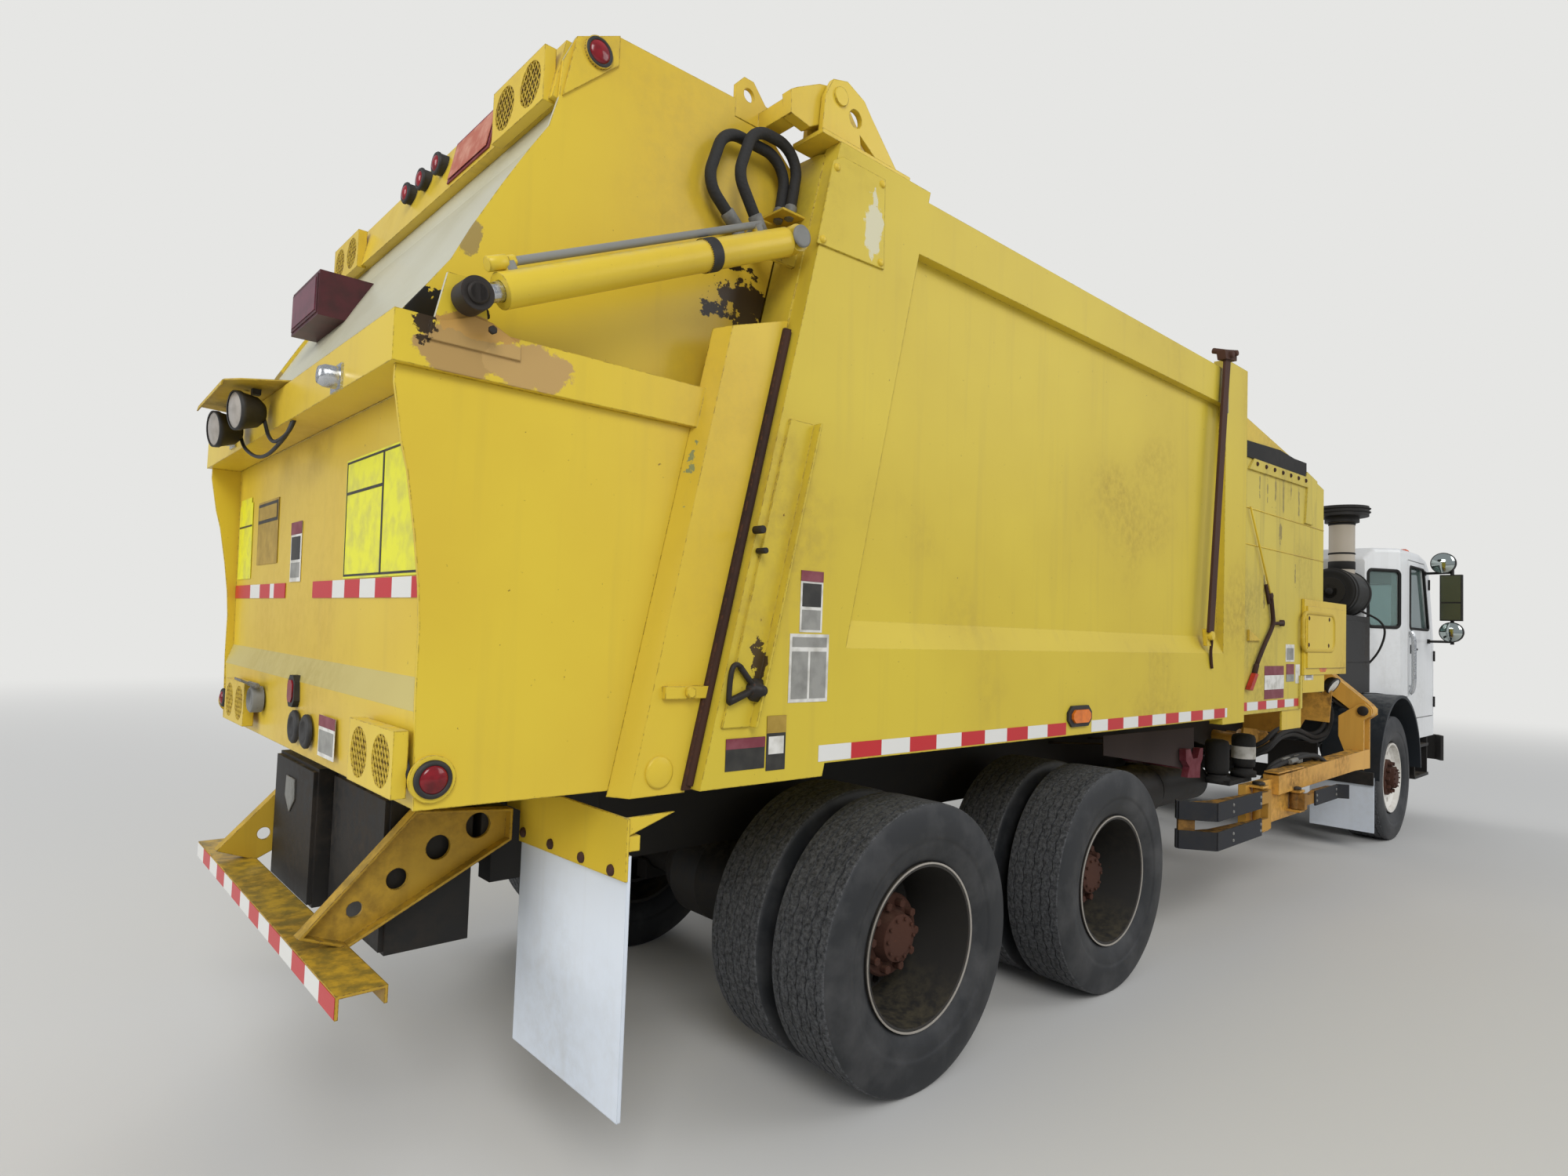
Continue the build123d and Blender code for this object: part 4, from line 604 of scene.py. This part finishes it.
for x, thick, half_y, half_z, cut, paint in ((-4890, 22, 42, 50, 22, 1), (-4910, 6, 28, 35, 14, 0)):
    slab([(x, y - 40, z + 1364) for y, z in cut_corners(half_y, half_z, cut, cut)],
         (-1, 0, 0), thick, paint)
for y in (-60, -200):
    spun((-4897, y, 1253), (-1, 0, 0), [(52, 0), (52, 8), (46, 13), (34, 13), (30, 7), (0.01, 7)], paint=1)
finished("red_lamps", "tailgate", "lamp_set", red_lens, lamp_rubber)
bar_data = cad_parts["light_bar"].data
bar_data.materials.append(finishes["maroon_lamp_box"])
bar_data.materials.append(lamp_rubber)
# the box lamp's box is maroon, and the stubs behind the bar's three lamps are black
for face in bar_data.polygons:
    x, y, z = face.center * 1000
    if x < -4630 and 2660 < z < 2840 and y > 240:
        face.material_index = 1
    elif any((y - middle) ** 2 + (z - bar_lamps_z) ** 2 < 38 ** 2 for middle in bar_lamps_y):
        face.material_index = 2
guard_yellow = painted("yellow_guard_mesh", ("C9AC38", "B99B30"), "5E4E22", "B7A860", 0.5, "5F3A20", 0.8)
recess_radius, strand_pitch = 62, 17
# each strand's way, across and up, as a unit line
strand_across, strand_up = 0.55, 0.835
# (rear face x, middle y, middle z)
for x, y, z in ((-4604, -805, 3105), (-4604, 805, 3105), (-4940, -915, 1275), (-4940, 640, 1275)):
    for middle in (y - 81, y + 81):
        spun((x + 16, middle, z), (-1, 0, 0), [(61, 0), (61, 1), (0.01, 1)], paint=1)
        for lean in (-1, 1):
            for row in range(-3, 4):
                off = row * strand_pitch
                half = (recess_radius ** 2 - off ** 2) ** 0.5
                strand = Vector((0, lean * strand_across, strand_up)) * half
                crossing = Vector((x + 2, middle, z)) + Vector((0, strand_up, -lean * strand_across)) * off
                rod(crossing - strand, crossing + strand, 2.6, 4)
finished("guard_mesh", "tailgate", "body_paint", guard_yellow, lamp_rubber)

# Name plate and box lamp: a faded red plate on the light bar and a maroon lamp box on the sheet below it.
# The plate is left blank, and the lamp's face is a dusky red.
slab([(-4584, -580, 3052), (-4584, -256, 3052), (-4555, -256, 3200), (-4555, -580, 3200)], (-1, 0, 0), 5)
slab([(-4590, -568, 3062), (-4590, -268, 3062), (-4562, -268, 3190), (-4562, -568, 3190)],
     (-1, 0, 0), 2, 1)
finished("blank_name_plate", "tailgate", "body_paint", finishes["dark_red_label_ink"],
         finishes["faded_salmon_plate"])
box((-4830, 262, 2683), (-4834, 603, 2824))
box((-4831, 276, 2694), (-4837, 589, 2813), 1)
finished("box_lamp_face", "tailgate", "lamp_set", finishes["maroon_lamp_box"],
         finishes["dusky_red_lamp_face"])

# Work lamps: two black round lamps under a bent sheet-steel visor, with their cables looped to the belt.
# Two small chromed lamps light the plate from the belt's face.
slab([(x, y, 2318) for x, y in ((-4985, -160), (-5105, -60), (-5140, -10), (-5128, 480), (-4985, 520))],
     (0, 0, 1), 5)
slab([(-5140, -10, 2320), (-5144, -10, 2302), (-5132, 480, 2302), (-5128, 480, 2320)], (-1, 0, 0), 4)
for y in (400, 80):
    rod((-5062, y, 2318), (-5062, y, 2350), 8, 8)
finished("lamp_visor", "tailgate", "body_paint", guard_yellow)
lamp_way = (-1, -0.16, -0.1)
for y, z in ((380, 2237), (40, 2247)):
    spun((-5016, y, z), lamp_way, [(0.01, 0), (30, 4), (48, 24), (58, 66), (62, 72), (62, 88), (56, 88)])
    spun((-5016, y, z), lamp_way, [(56, 85), (36, 90), (0.01, 93)], paint=1)
    box((-5055, y - 14, 2300), (-5031, y + 14, 2322))
finished("work_lamps", "tailgate", "lamp_set", lamp_rubber, finishes["dusty_lamp_glass"])


def cable(points, radius, around=8, paint=0):
    """A bent cable or pipe: a ring of points swept along a smooth curve through places in mm."""
    curve = bpy.data.curves.new("run", "CURVE")
    curve.dimensions = "3D"
    curve.bevel_depth = radius / 1000
    curve.bevel_resolution = around // 4
    curve.resolution_u = 6
    curve.use_fill_caps = True
    line = curve.splines.new("NURBS")
    line.points.add(len(points) - 1)
    line.order_u = 3
    line.use_endpoint_u = True
    for knot, place in zip(line.points, points):
        knot.co = (*at(*place), 1)
    holder = bpy.data.objects.new("run", curve)
    made = bpy.data.meshes.new_from_object(holder)
    before = set(bm.faces)
    bm.from_mesh(made)
    for face in bm.faces:
        if face not in before:
            face.material_index = paint
            face.smooth = True
    bpy.data.objects.remove(holder)
    bpy.data.curves.remove(curve)
    bpy.data.meshes.remove(made)


cable([(-5022, 380, 2237), (-5014, 372, 2196), (-5012, 300, 2160), (-5010, 150, 2118), (-5010, 0, 2105),
       (-5006, -110, 2122), (-4992, -190, 2160), (-4985, -200, 2204)], 6)
cable([(-5022, 40, 2247), (-5016, 20, 2210), (-5014, -20, 2165), (-5012, -90, 2134), (-5002, -160, 2142),
       (-4990, -212, 2170), (-4985, -218, 2204)], 6)
finished("lamp_cables", "tailgate", "black_rubber", lamp_rubber)
for y, z in ((-700, 2222), (586, 2240)):
    box((-5000, y - 44, z - 34), (-5006, y + 44, z + 34))
    spun((-5006, y - 8, z), (-1, 0, 0), [(30, 0), (29, 30), (22, 44), (0.01, 46)])
finished("plate_lamps", "tailgate", "rod_chrome", chrome)

# Tailgate fittings: the trailer socket under its flap, and on each side a round cap and the prop's latch.
# They are cast or pressed steel, dull grey, oily black or painted over.
cast_grey = painted("dull_grey_cast_fittings", ("8B8B86", "73736F"), "3E3A34", "A39C8C", 0.5,
                    "5A3620", 0.5)
latch_black = painted("oily_black_latch_steel", ("2B2622", "1E1B18"), "3C3024", "4A4036", 0.5,
                      "5A3620", 0.5)
spun((-4898, 410, 1300), (-1, 0, 0), [(46, 0), (46, 34), (38, 40), (38, 30), (0.01, 30)])
slab([(-4925, 350, 1344), (-4925, 470, 1344), (-4975, 462, 1368), (-4975, 358, 1368)], (0, 0, 1), 8)
rod((-4926, 350, 1352), (-4926, 470, 1352), 9)
finished("trailer_socket", "tailgate", "cast_steel", cast_grey)
spun((-4261, 1150, 1213), (0, 1, 0), [(44, 0), (44, 5), (38, 8), (0.01, 9)], 40)
nut((-4180, 1166, 1430), (0, 1, 0), 34, 14)
finished("round_caps", "tailgate", "body_paint", body_yellow, mirrored=True)
spun((-3982, 1206, 1436), (0, 1, 0), [(34, 0), (34, 24), (20, 32), (14, 50), (0.01, 52)])
rod((-4088, 1226, 1404), (-3990, 1226, 1440), 11)
rod((-4050, 1226, 1504), (-3990, 1226, 1440), 9)
cable([(-4050, 1228, 1504), (-4076, 1232, 1520), (-4092, 1232, 1470), (-4088, 1228, 1404)], 8)
rod((-3999, 1208, 1900), (-3999, 1248, 1900), 12)
rod((-3985, 1208, 1840), (-3985, 1248, 1840), 9)
finished("prop_latches", "refuse_body", "cast_steel", latch_black, mirrored=True)

# Tailgate cylinders: steel pipe and black straps on the painted barrels, and the hoses' crimped ends.
# The pipe is bare zinc-grey, so it stands out as a thin bright line above the barrel.
pin = Vector((-3.852, 0, 2.823))
way = (Vector((-4.844, 0, 2.365)) - pin).normalized()
cylinder_y, rod_eye_x = 1.16, -4.79
for name, side in sides:
    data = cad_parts[f"cylinder_rod_{name}"].data
    data.materials.append(latch_black)
    for face in data.polygons:
        if face.center.x < rod_eye_x:
            face.material_index = 1
    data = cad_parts[f"cylinder_barrel_{name}"].data
    data.materials.append(cast_grey)
    data.materials.append(lamp_rubber)
    # the pipe stands clear of the barrel, and the strap is a raised band about 350 mm from the pin
    for face in data.polygons:
        from_pin = (Vector((face.center.x, face.center.y - side * cylinder_y, face.center.z)) - pin) * 1000
        along = from_pin.dot(way)
        off = (from_pin - way * along).length
        if off > 50 and along > 100:
            face.material_index = 1
        elif off > 45.5 and 325 < along < 375:
            face.material_index = 2
# (the two ends of each of the four hose fittings)
for start, end in (((-3900, 1075, 2850), (-3893, 1075, 2826)), ((-3965, 1042, 2850), (-3972, 1042, 2822)),
                   ((-3800, 1042, 2980), (-3806, 1042, 2950)), ((-3782, 1075, 2985), (-3788, 1075, 2955))):
    rod(start, end, 21)
    nut(end, Vector(end) - Vector(start), 34, 16)
cable([(-3972, 1042, 2810), (-3980, 1060, 2780), (-4000, 1110, 2800), (-3990, 1160, 2822)], 11)
cable([(-3893, 1075, 2822), (-3891, 1078, 2798), (-3890, 1100, 2794), (-3890, 1150, 2802)], 11)
box((-3845, 1010, 2944), (-3735, 1108, 2952), 1)
rod((-3900, 1075, 2850), (-3935, 1075, 2904), 23)
rod((-3965, 1042, 2850), (-4020, 1042, 2897), 23)
spun((-3852, 1205, 2823), (0, 1, 0), [(34, 0), (34, 7), (28, 9), (0.01, 9)], 24)
finished("hose_fittings", "refuse_body", "cylinder_steel", cast_grey, body_yellow, mirrored=True)
spun((-4844, 1190, 2365), (0, 1, 0), [(26, 0), (26, 6), (20, 8), (0.01, 8)], 24)
nut((-4790, 1150, 2300), (0, 1, 0), 22, 10)
finished("rod_eye_caps", "tailgate", "cast_steel", latch_black, mirrored=True)
for name, side in sides:
    rod((-4815, side * 1160, 2450), (-4768, side * 1160, 2470), 19)
    nut((-4768, side * 1160, 2470), (0.91, 0, 0.42), 32, 24)
    finished(f"pipe_elbow_{name}", f"gate_cylinder_{name}", "body_paint", body_yellow)
slab([(-4815, y, z) for y, z in ((235, 1035), (345, 1035), (352, 965), (290, 915), (228, 965))],
     (-1, 0, 0), 4)
finished("tool_box_shield", "chassis", "cast_steel", cast_grey)

# Body fittings: cover-plate bolts, amber side lamps, and the rod down each front post to the roof hatch.
# The rod is bare rusted steel with cast ends, against the clean yellow of the post.

for x, z in ((-3712, 3094), (-3494, 3120), (-3492, 2852), (-3764, 2842)):
    spun((x, 1211, z), (0, 1, 0), [(13, 0), (12, 4), (8, 7), (0.01, 8)], 16)
for x in range(-20, 861, 145):
    spun((x, 1182, 2706 + x * 0.022), (0, 1, 0), [(14, 0), (13, 5), (8, 9), (0.01, 10)], 16, 1)
for z in (2212, 2430):
    rod((-245, 1171, z), (1265, 1171, z), 4, 6)
for x, z in ((886, 1803), (1306, 1806), (881, 1625), (1294, 1624)):
    spun((x, 1193, z), (0, 1, 0), [(17, 0), (17, 6), (10, 10), (0.01, 11)], 16, 1)
finished("body_bolts", "refuse_body", "body_paint", body_yellow, rust_bar, mirrored=True)
for y in (572, 749, 931, 1089):
    spun((-4360, y, 952), (-1, 0, 0), [(16, 0), (15, 6), (9, 10), (0.01, 11)], 12)
finished("flap_bolts", "chassis", "body_paint", rust_bar, mirrored=True)
for middle_x, y, middle_z in ((-2123, 1205, 1282), (1210, 1170, 1470)):
    for half_x, half_z, cut_x, cut_z, off, paint in ((98, 45, 29.4, 29.25, 0, 1),
                                                     (74, 28, 22.2, 18.2, 10, 0)):
        slab([(middle_x + x, y + off, middle_z + z) for x, z in cut_corners(half_x, half_z, cut_x, cut_z)],
             (0, 1, 0), 11, paint)
box((1548, 1191, 1494), (1660, 1199, 1580), 2)
finished("side_lamps", "refuse_body", "lamp_set", finishes["amber_lens"], lamp_rubber,
         finishes["orange_lens"], mirrored=True)
slab([(x, 1240, z) for x, z in ((-660, 3225), (-592, 3225), (-778, 1672), (-842, 1672))], (0, -1, 0), 14)
rod((-616, 1240, 3231), (-616, 1150, 3262), 16, 10)
slab([(x, 1205, z) for x, z in ((-690, 3180), (-540, 3200), (-540, 3262), (-710, 3225))], (0, 1, 0), 46)
rod((-630, 1205, 3215), (-630, 1268, 3215), 20)
rod((-570, 1205, 3236), (-570, 1268, 3236), 16)
cable([(-805, 1240, 1660), (-770, 1225, 1610), (-760, 1215, 1560), (-730, 1212, 1480)], 8)
finished("hatch_rods", "refuse_body", "cast_steel", rust_bar, mirrored=True)
rod((-808, 1206, 1655), (-808, 1250, 1655), 24, 12, 1)
slab([(x, 1206, z) for x, z in ((-850, 1690), (-760, 1690), (-780, 1600), (-830, 1600))], (0, 1, 0), 20, 1)
rod((-590, 1212, 3060), (-590, 1212, 2900), 16)
finished("hatch_springs", "refuse_body", "cylinder_steel", cast_grey, body_yellow, mirrored=True)

# Hopper: a black rubber skirt between the hood and the rim, and the bent rod that releases the side door.
# The rubber is dull and nearly black, and the rod ends in a red plastic grip.
skirt_rubber = painted("dull_black_skirt_rubber", ("232221", "2B2A29"), "3A3734", "4A4742", 0.85)
slab([(x, 1171, z) for x, z in ((-240, 2728), (862, 2753), (880, 2792), (879, 2848), (640, 2842),
                                (380, 2856), (-240, 2822))], (0, 1, 0), 7)
finished("rubber_skirts", "refuse_body", "black_rubber", skirt_rubber, mirrored=True)
rod((-134, 1188, 2432), (200, 1188, 1935), 6, 8, 2)
spun((212, 1172, 1916), (0, 1, 0), [(22, 0), (22, 24), (10, 28), (0.01, 28)], 16)
cable([(x, 1188, z) for x, z in ((212, 1916), (250, 1800), (258, 1748), (200, 1690), (90, 1600),
                                 (-12, 1496))], 13)
rod((150, 1180, 1985), (205, 1180, 1870), 10, 8)
rod((258, 1188, 1750), (418, 1188, 1757), 10)
spun((425, 1172, 1757), (0, 1, 0), [(20, 0), (20, 22), (0.01, 24)], 16)
rod((-12, 1188, 1496), (-46, 1188, 1440), 15)
slab([(x, 1176, z) for x, z in ((-62, 1446), (-18, 1440), (-108, 1344), (-152, 1352))], (0, 1, 0), 26, 1)
finished("door_levers", "refuse_body", "cast_steel", rust_bar, finishes["red_grip_plastic"], body_yellow,
         mirrored=True)


def rounded_line(corners, corner_radius, radius, paint=0):
    """A round cord along a closed line of corners in mm, each corner rounded off."""
    points = []
    for number, corner in enumerate(corners):
        here, last = Vector(corner), Vector(corners[number - 1])
        after = Vector(corners[number + 1 - len(corners)])
        start = here + (last - here).normalized() * corner_radius
        end = here + (after - here).normalized() * corner_radius
        points += [start, start.lerp(here, 0.55), end.lerp(here, 0.55), end]
    cable(points + points[:1], radius, 8, paint)


box((840, 1190.5, 1600), (1350, 1195.5, 1826))
rounded_line([(x, 1194, z) for x, z in ((780, 1586), (1418, 1586), (1418, 1838), (780, 1838))], 95, 14, 1)
box((825, 1171, 1305), (1265, 1182, 1425))
box((500, 1150, 1075), (860, 1162, 1205))
slab([(-120, 1171, 1702), (70, 1171, 1640), (-120, 1171, 1636)], (0, 1, 0), 14)
finished("service_covers", "refuse_body", "body_paint", body_yellow, guard_yellow, mirrored=True)

# Under the body: brake chambers, air lines, two oil filters and a valve beside the arm, and a dust skirt.
# They are black with dust, but for the pale label band of a filter, the dark red valve and the brown skirt.
for x in rear_axle_x:
    for name, side in sides:
        spun((x + 190, side * 300, 600), (-0.6, side * 0.6, 0.3),
             [(0.01, 0), (60, 6), (84, 40), (88, 66), (92, 70), (92, 80), (88, 84), (84, 120), (60, 150),
              (0.01, 156)], 28)
    cable([(x + 190, -300, 640), (x + 260, -200, 800), (x + 300, 0, 850), (x + 260, 200, 800),
           (x + 190, 300, 640)], 9)
for y in (-320, 320):
    cable([(x, y, 1023) for x in (-4300, -3000, -1500, 0, 1200)], 9)
finished("air_lines", "chassis", "black_plastic", chassis_black)
for canister in ((735, -850, 776), (470, -780, 745)):
    spun(canister, (0, 0, 1), [(0.01, 0), (46, 2), (70, 14), (74, 40), (74, 200), (66, 222), (40, 230),
                               (0.01, 231)])
    spun(canister, (0, 0, -1), [(58, -2), (58, 16), (80, 18), (80, 54), (40, 58), (0.01, 58)])
spun((735, -850, 776), (0, 0, 1), [(74.6, 66), (74.6, 148)], 32, 1)
box((420, -880, 716), (800, -430, 686))
rod((600, -430, 700), (600, -330, 860), 40)
finished("oil_filters", "chassis", "black_plastic", hose_black, finishes["white_label_film"])
slab([(x, -880, z) for x, z in ((-227, 798), (-46, 782), (-40, 860), (-10, 900), (-6, 962), (-50, 962),
                                (-85, 905), (-150, 905), (-190, 968), (-254, 968), (-250, 900),
                                (-200, 860))], (0, 1, 0), 40)
rod((-130, -870, 860), (-130, -430, 860), 28)
finished("red_valve", "chassis", "cast_steel", finishes["dark_red_label_ink"])
slab([(x, -835, z) for x, z in ((-1185, 1100), (-1180, 995), (-188, 847), (-28, 839), (-36, 1087))],
     (0, 1, 0), 6)
for x in (-1050, -600, -150):
    slab([(x, -829, 1040), (x + 60, -829, 1040), (x + 60, -430, 1000), (x, -430, 1000)], (0, 0, 1), 6)
finished("dust_skirt", "chassis", "black_rubber",
         painted("brown_dusty_rubber_skirt", ("4A3F3D", "3C3432"), "2E2826", "5E5450", 0.85))

# Arm fittings: rubber belts on the fingers, caps and nuts on the pins, hoses on the links and a work lamp.
# The belts are grey-black webbed rubber, clamped over the fingers' outer faces where they meet the bin.
belt_rubber = painted("webbed_grey_belt_rubber", ("2F3136", "26272B"), "3E3B36", "55524C", 0.75)
# (body, pin x, way along the truck, belt heights, points from the pin as along and outward)
belts = (("rear_finger", -140, -1, ((562, 628), (712, 778)),
          ((150, 60), (760, 60), (868, -88), (840, -108))),
         ("front_finger", 480, 1, ((626, 690),), ((150, 60), (606, 60), (650, 118))))
for body, x, way, heights, points in belts:
    for low, high in heights:
        for (a, a_out), (b, b_out) in zip(points, points[1:]):
            start, end = (x + way * a, -1251 - a_out), (x + way * b, -1251 - b_out)
            out = Vector(((end[1] - start[1]) * way, (start[0] - end[0]) * way, 0)).normalized()
            slab([(*start, low - 14), (*end, low - 14), (*end, high + 14), (*start, high + 14)], out, 10)
        for along in (170, 560):
            for z in (low + 15, high - 15):
                spun((x + way * along, -1320, z), (0, -1, 0), [(9, 0), (8, 4), (4, 6), (0.01, 6)], 10, 1)
    finished(body + "_belt", body, "black_rubber", belt_rubber, cast_grey)
for x, face in ((1918, -1), (2142, 1)):
    spun((x, -550, 1720), (face, 0, 0), [(48, 0), (48, 10), (40, 14), (0.01, 15)], 28)
    nut((x + face * 14, -550, 1720), (face, 0, 0), 46, 18)
finished("arm_pin_caps", "chassis", "arm_paint", arm_yellow)
for x, face in ((1936, -1), (2124, 1)):
    spun((x, -1247, 1151), (face, 0, 0), [(36, 0), (36, 8), (30, 12), (0.01, 13)], 28, 1)
for x, z in ((-140, 809), (480, 722)):
    spun((x, -1250, z), (0, 0, 1), [(34, 0), (34, 10), (28, 14), (0.01, 15)], 24, 1)
box((180, -1250, 838), (640, -1170, 848))
for x in (230, 330):
    spun((x, -1214, 750), (0, -1, 0), [(17, 0), (17, 8), (10, 12), (0.01, 12)], 16, 1)
for shift in (0, 44):
    rod((700 + shift, -1190, 858), (700 + shift, -1190, 905), 20, 8, 3)
    rod((640, -1160 - shift, 885), (520, -1160 - shift, 880), 17, 8, 3)
    cable([(1180, -1225 + shift, 820), (1040, -1220 + shift, 880), (880, -1215 + shift, 898),
           (700, -1205 + shift, 898), (520, -1185 + shift, 880), (340, -1160 + 0.4 * shift, 850),
           (180, -1148, 790 - shift), (60, -1185, 700 - shift)], 15, paint=2)
finished("forearm_fittings", "forearm", "arm_paint", arm_yellow, latch_black, hose_black, cast_grey)
for x in (2000, 2038, 2074):
    cable([(x, y, z) for y, z in ((-560, 1630), (-700, 1500), (-860, 1360), (-1020, 1225), (-1110, 1160),
                                  (-1190, 1152))], 13)
finished("boom_hoses", "boom", "black_rubber", hose_black)
for y_shift, z_shift in ((0, 0), (34, 18), (10, -34)):
    cable([(x, y + y_shift, z + z_shift) for x, y, z in (
        (1990, -660, 1240), (1990, -790, 1260), (2010, -950, 1260), (2090, -1010, 1130), (2060, -990, 960),
        (1860, -955, 920), (1680, -945, 965), (1500, -935, 1005), (1330, -932, 1005), (1160, -930, 985),
        (1000, -920, 910), (900, -760, 830), (930, -580, 830), (970, -410, 870))], 16)
for x, y, z in ((1300, -600, 900), (1560, -620, 880)):
    spun((x, y, z), (0.2, -1, 0), [(0.01, 0), (70, 0), (84, 14), (84, 90), (60, 104), (0.01, 106)], 28, 1)
    rod((x, y - 10, z), (x, -420, z + 15), 46, 16, 1)
slab([(1120, -700, 880), (1460, -700, 870), (1420, -700, 985), (1150, -700, 1010)], (0, 1, 0), 14, 1)
finished("arm_supply_hoses", "chassis", "black_rubber", hose_black, arm_yellow)
lamp_way = (-0.1, -0.85, -0.5)
spun((1616, -1092, 1364), lamp_way, [(0.01, 0), (36, 4), (52, 20), (58, 44), (64, 50), (64, 66), (58, 66)])
spun((1616, -1092, 1364), lamp_way, [(58, 63), (36, 68), (0.01, 70)], paint=1)
rod((1616, -1080, 1364), (1607, -1060, 1280), 14)
finished("arm_work_lamp", "chassis", "lamp_set", lamp_rubber, finishes["white_label_film"])

# Cab trim: rubber round the windows, mirror glass, chromed handles, marker lamps, wipers and the grille.
# The mirrors and handles are bright against the white enamel, and all the rest is black or amber.
mirror_glass, tree, skin, place = new_material("silvered_mirror_glass")
fill(tree, skin, {"Base Color": linear("B4BDB9"), "Metallic": 1.0, "Roughness": 0.08})
smoked_mirror, tree, skin, place = new_material("dark_flat_mirror_glass")
fill(tree, skin, {"Base Color": linear("5D6662"), "Metallic": 0.7, "Roughness": 0.12})
for name, side in sides:
    rounded_line([(3262, side * 947, 1806), (3552, side * 1114, 1806), (3552, side * 1114, 2306),
                  (3262, side * 947, 2306)], 55, 15)
    box((4961, side * 470, 560), (4964, side * 1080, 780))
rounded_line([(3230, -650, 1812), (3230, 650, 1812), (3230, 650, 2243), (3230, -650, 2243)], 60, 14)
rounded_line([(4829, -902, 1428), (4829, 902, 1428), (4784, 902, 1700), (4620, 902, 2262),
              (4620, -902, 2262), (4784, -902, 1700)], 60, 16)
for y in (-620, 420):
    rod((4826, y, 1440), (4740, y + 190, 1860), 8, 8)
    slab([(4770, y + 60, 1640), (4776, y + 64, 1640), (4690, y + 330, 2080), (4684, y + 326, 2080)],
         (1, 0, 0), 12)
for z in range(880, 1253, 62):
    box((4831, -620, z), (4843, 620, z + 34))
finished("cab_rubbers", "chassis", "cab_trim", skirt_rubber)
for y in (-880, -700, 700, 880):
    spun((4830, y, 1010), (1, 0, 0), [(80, 0), (80, 16), (70, 24), (66, 12)], paint=1)
    spun((4830, y, 1010), (1, 0, 0), [(66, 14), (50, 22), (24, 27), (0.01, 28)])
for y in (-980, -200, 0, 200, 980):
    spun((4300, y, 2495), (0, 0, 1), [(50, 0), (50, 30), (40, 60), (20, 74), (0.01, 76)], 24, 2)
for y in (-1000, 1000):
    spun((4961, y, 700), (1, 0, 0), [(34, 0), (32, 8), (0.01, 12)], 24, 2)
finished("cab_lamps", "chassis", "lamp_set", finishes["pale_lamp_glass"], chrome, finishes["orange_lens"])
for name, side in sides:
    rounded_line([(3878, 1120, 1808), (4572, 1120, 1808), (4370, 1120, 2372), (3878, 1120, 2372)],
                 40, 12, 1)
    for z_low, z_high in ((2066, 2306), (1902, 2052)):
        box((4268, 1276, z_low), (4265, 1424, z_high), 2)
    for y, z, r in ((1289, 2425, 90), (1350, 1788, 85)):
        spun((4280, y, z), (-1, 0, 0), [(r, 0), (0.8 * r, 8), (0.45 * r, 15), (0.01, 18)])
    cable([(3858, y, z) for y, z in ((1130, 1225), (1158, 1240), (1158, 1500), (1158, 1765),
                                     (1130, 1780))], 19, 12, 3)
    rod((3930, 1128, 1620), (4090, 1128, 1620), 12, 12, 1)
    box((3900, 1120, 1580), (4110, 1124, 1660), 1)
    for x, z in ((4776, 1120), (4776, 1560), (4570.8, 2240)):
        rod((x, 1124, z - 50), (x, 1124, z + 50), 12, 10, 1)
    # the trim is drawn for the left door, and turned over for the right one
    bmesh.ops.scale(bm, vec=(1, side, 1), verts=bm.verts)
    finished(f"door_trim_{name}", f"door_{name}", "cab_trim", mirror_glass, skirt_rubber, smoked_mirror,
             chrome)
    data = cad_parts[f"door_{name}"].data
    data.materials.append(chrome)
    # the door's grab bar stands proud of its panel
    for face in data.polygons:
        if abs(face.center.y) > 1.1225 and face.center.x < 3.88:
            face.material_index = 1

# Air intake: the stack's bright perforated tube, its wide black rain cap, ribs and a hose from the drum.
# Only the tube is bare metal, faded to a warm grey.
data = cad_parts["air_cleaner"].data
data.materials.append(painted("warm_grey_stack_tube", ("B5AB9C", "A09685"), "7A6F60", "BDB3A3", 0.45,
                              "6A4A34", 0.3))
stack_x, stack_y = 3060, -800
for face in data.polygons:
    x, y, z = face.center * 1000
    out = Vector((x - stack_x, y - stack_y, 0)).length
    if 2300 < z < 2750 and 90 < out < 104:
        face.material_index = 1
for z, height in ((2290, 70), (2420, 16), (2676, 22)):
    spun((stack_x, stack_y, z), (0, 0, 1), [(99, 0), (102, 3), (102, height - 3), (99, height)], 40)
for z in (2775, 2805):
    spun((stack_x, stack_y, z), (0, 0, 1), [(200, 0), (212, 6), (214, 12), (200, 18)], 48)
spun((2740, -800, 2085), (-1, 0, 0), [(186, 0), (186, 10), (168, 14), (150, 6), (96, 6), (88, 16),
                                      (60, 20), (30, 20), (26, 34), (0.01, 36)], 48)
for x in (2790, 3120):
    spun((x, -800, 2085), (1, 0, 0), [(194, 0), (203, 3), (203, 22), (194, 25)], 48)
cable([(3080, -880, 1960), (3160, -1000, 1900), (3190, -1080, 1830), (3192, -1095, 1740),
       (3188, -1055, 1600), (3175, -985, 1490), (3140, -900, 1400), (3070, -860, 1370)], 9)
finished("stack_bands", "chassis", "black_plastic", skirt_rubber)
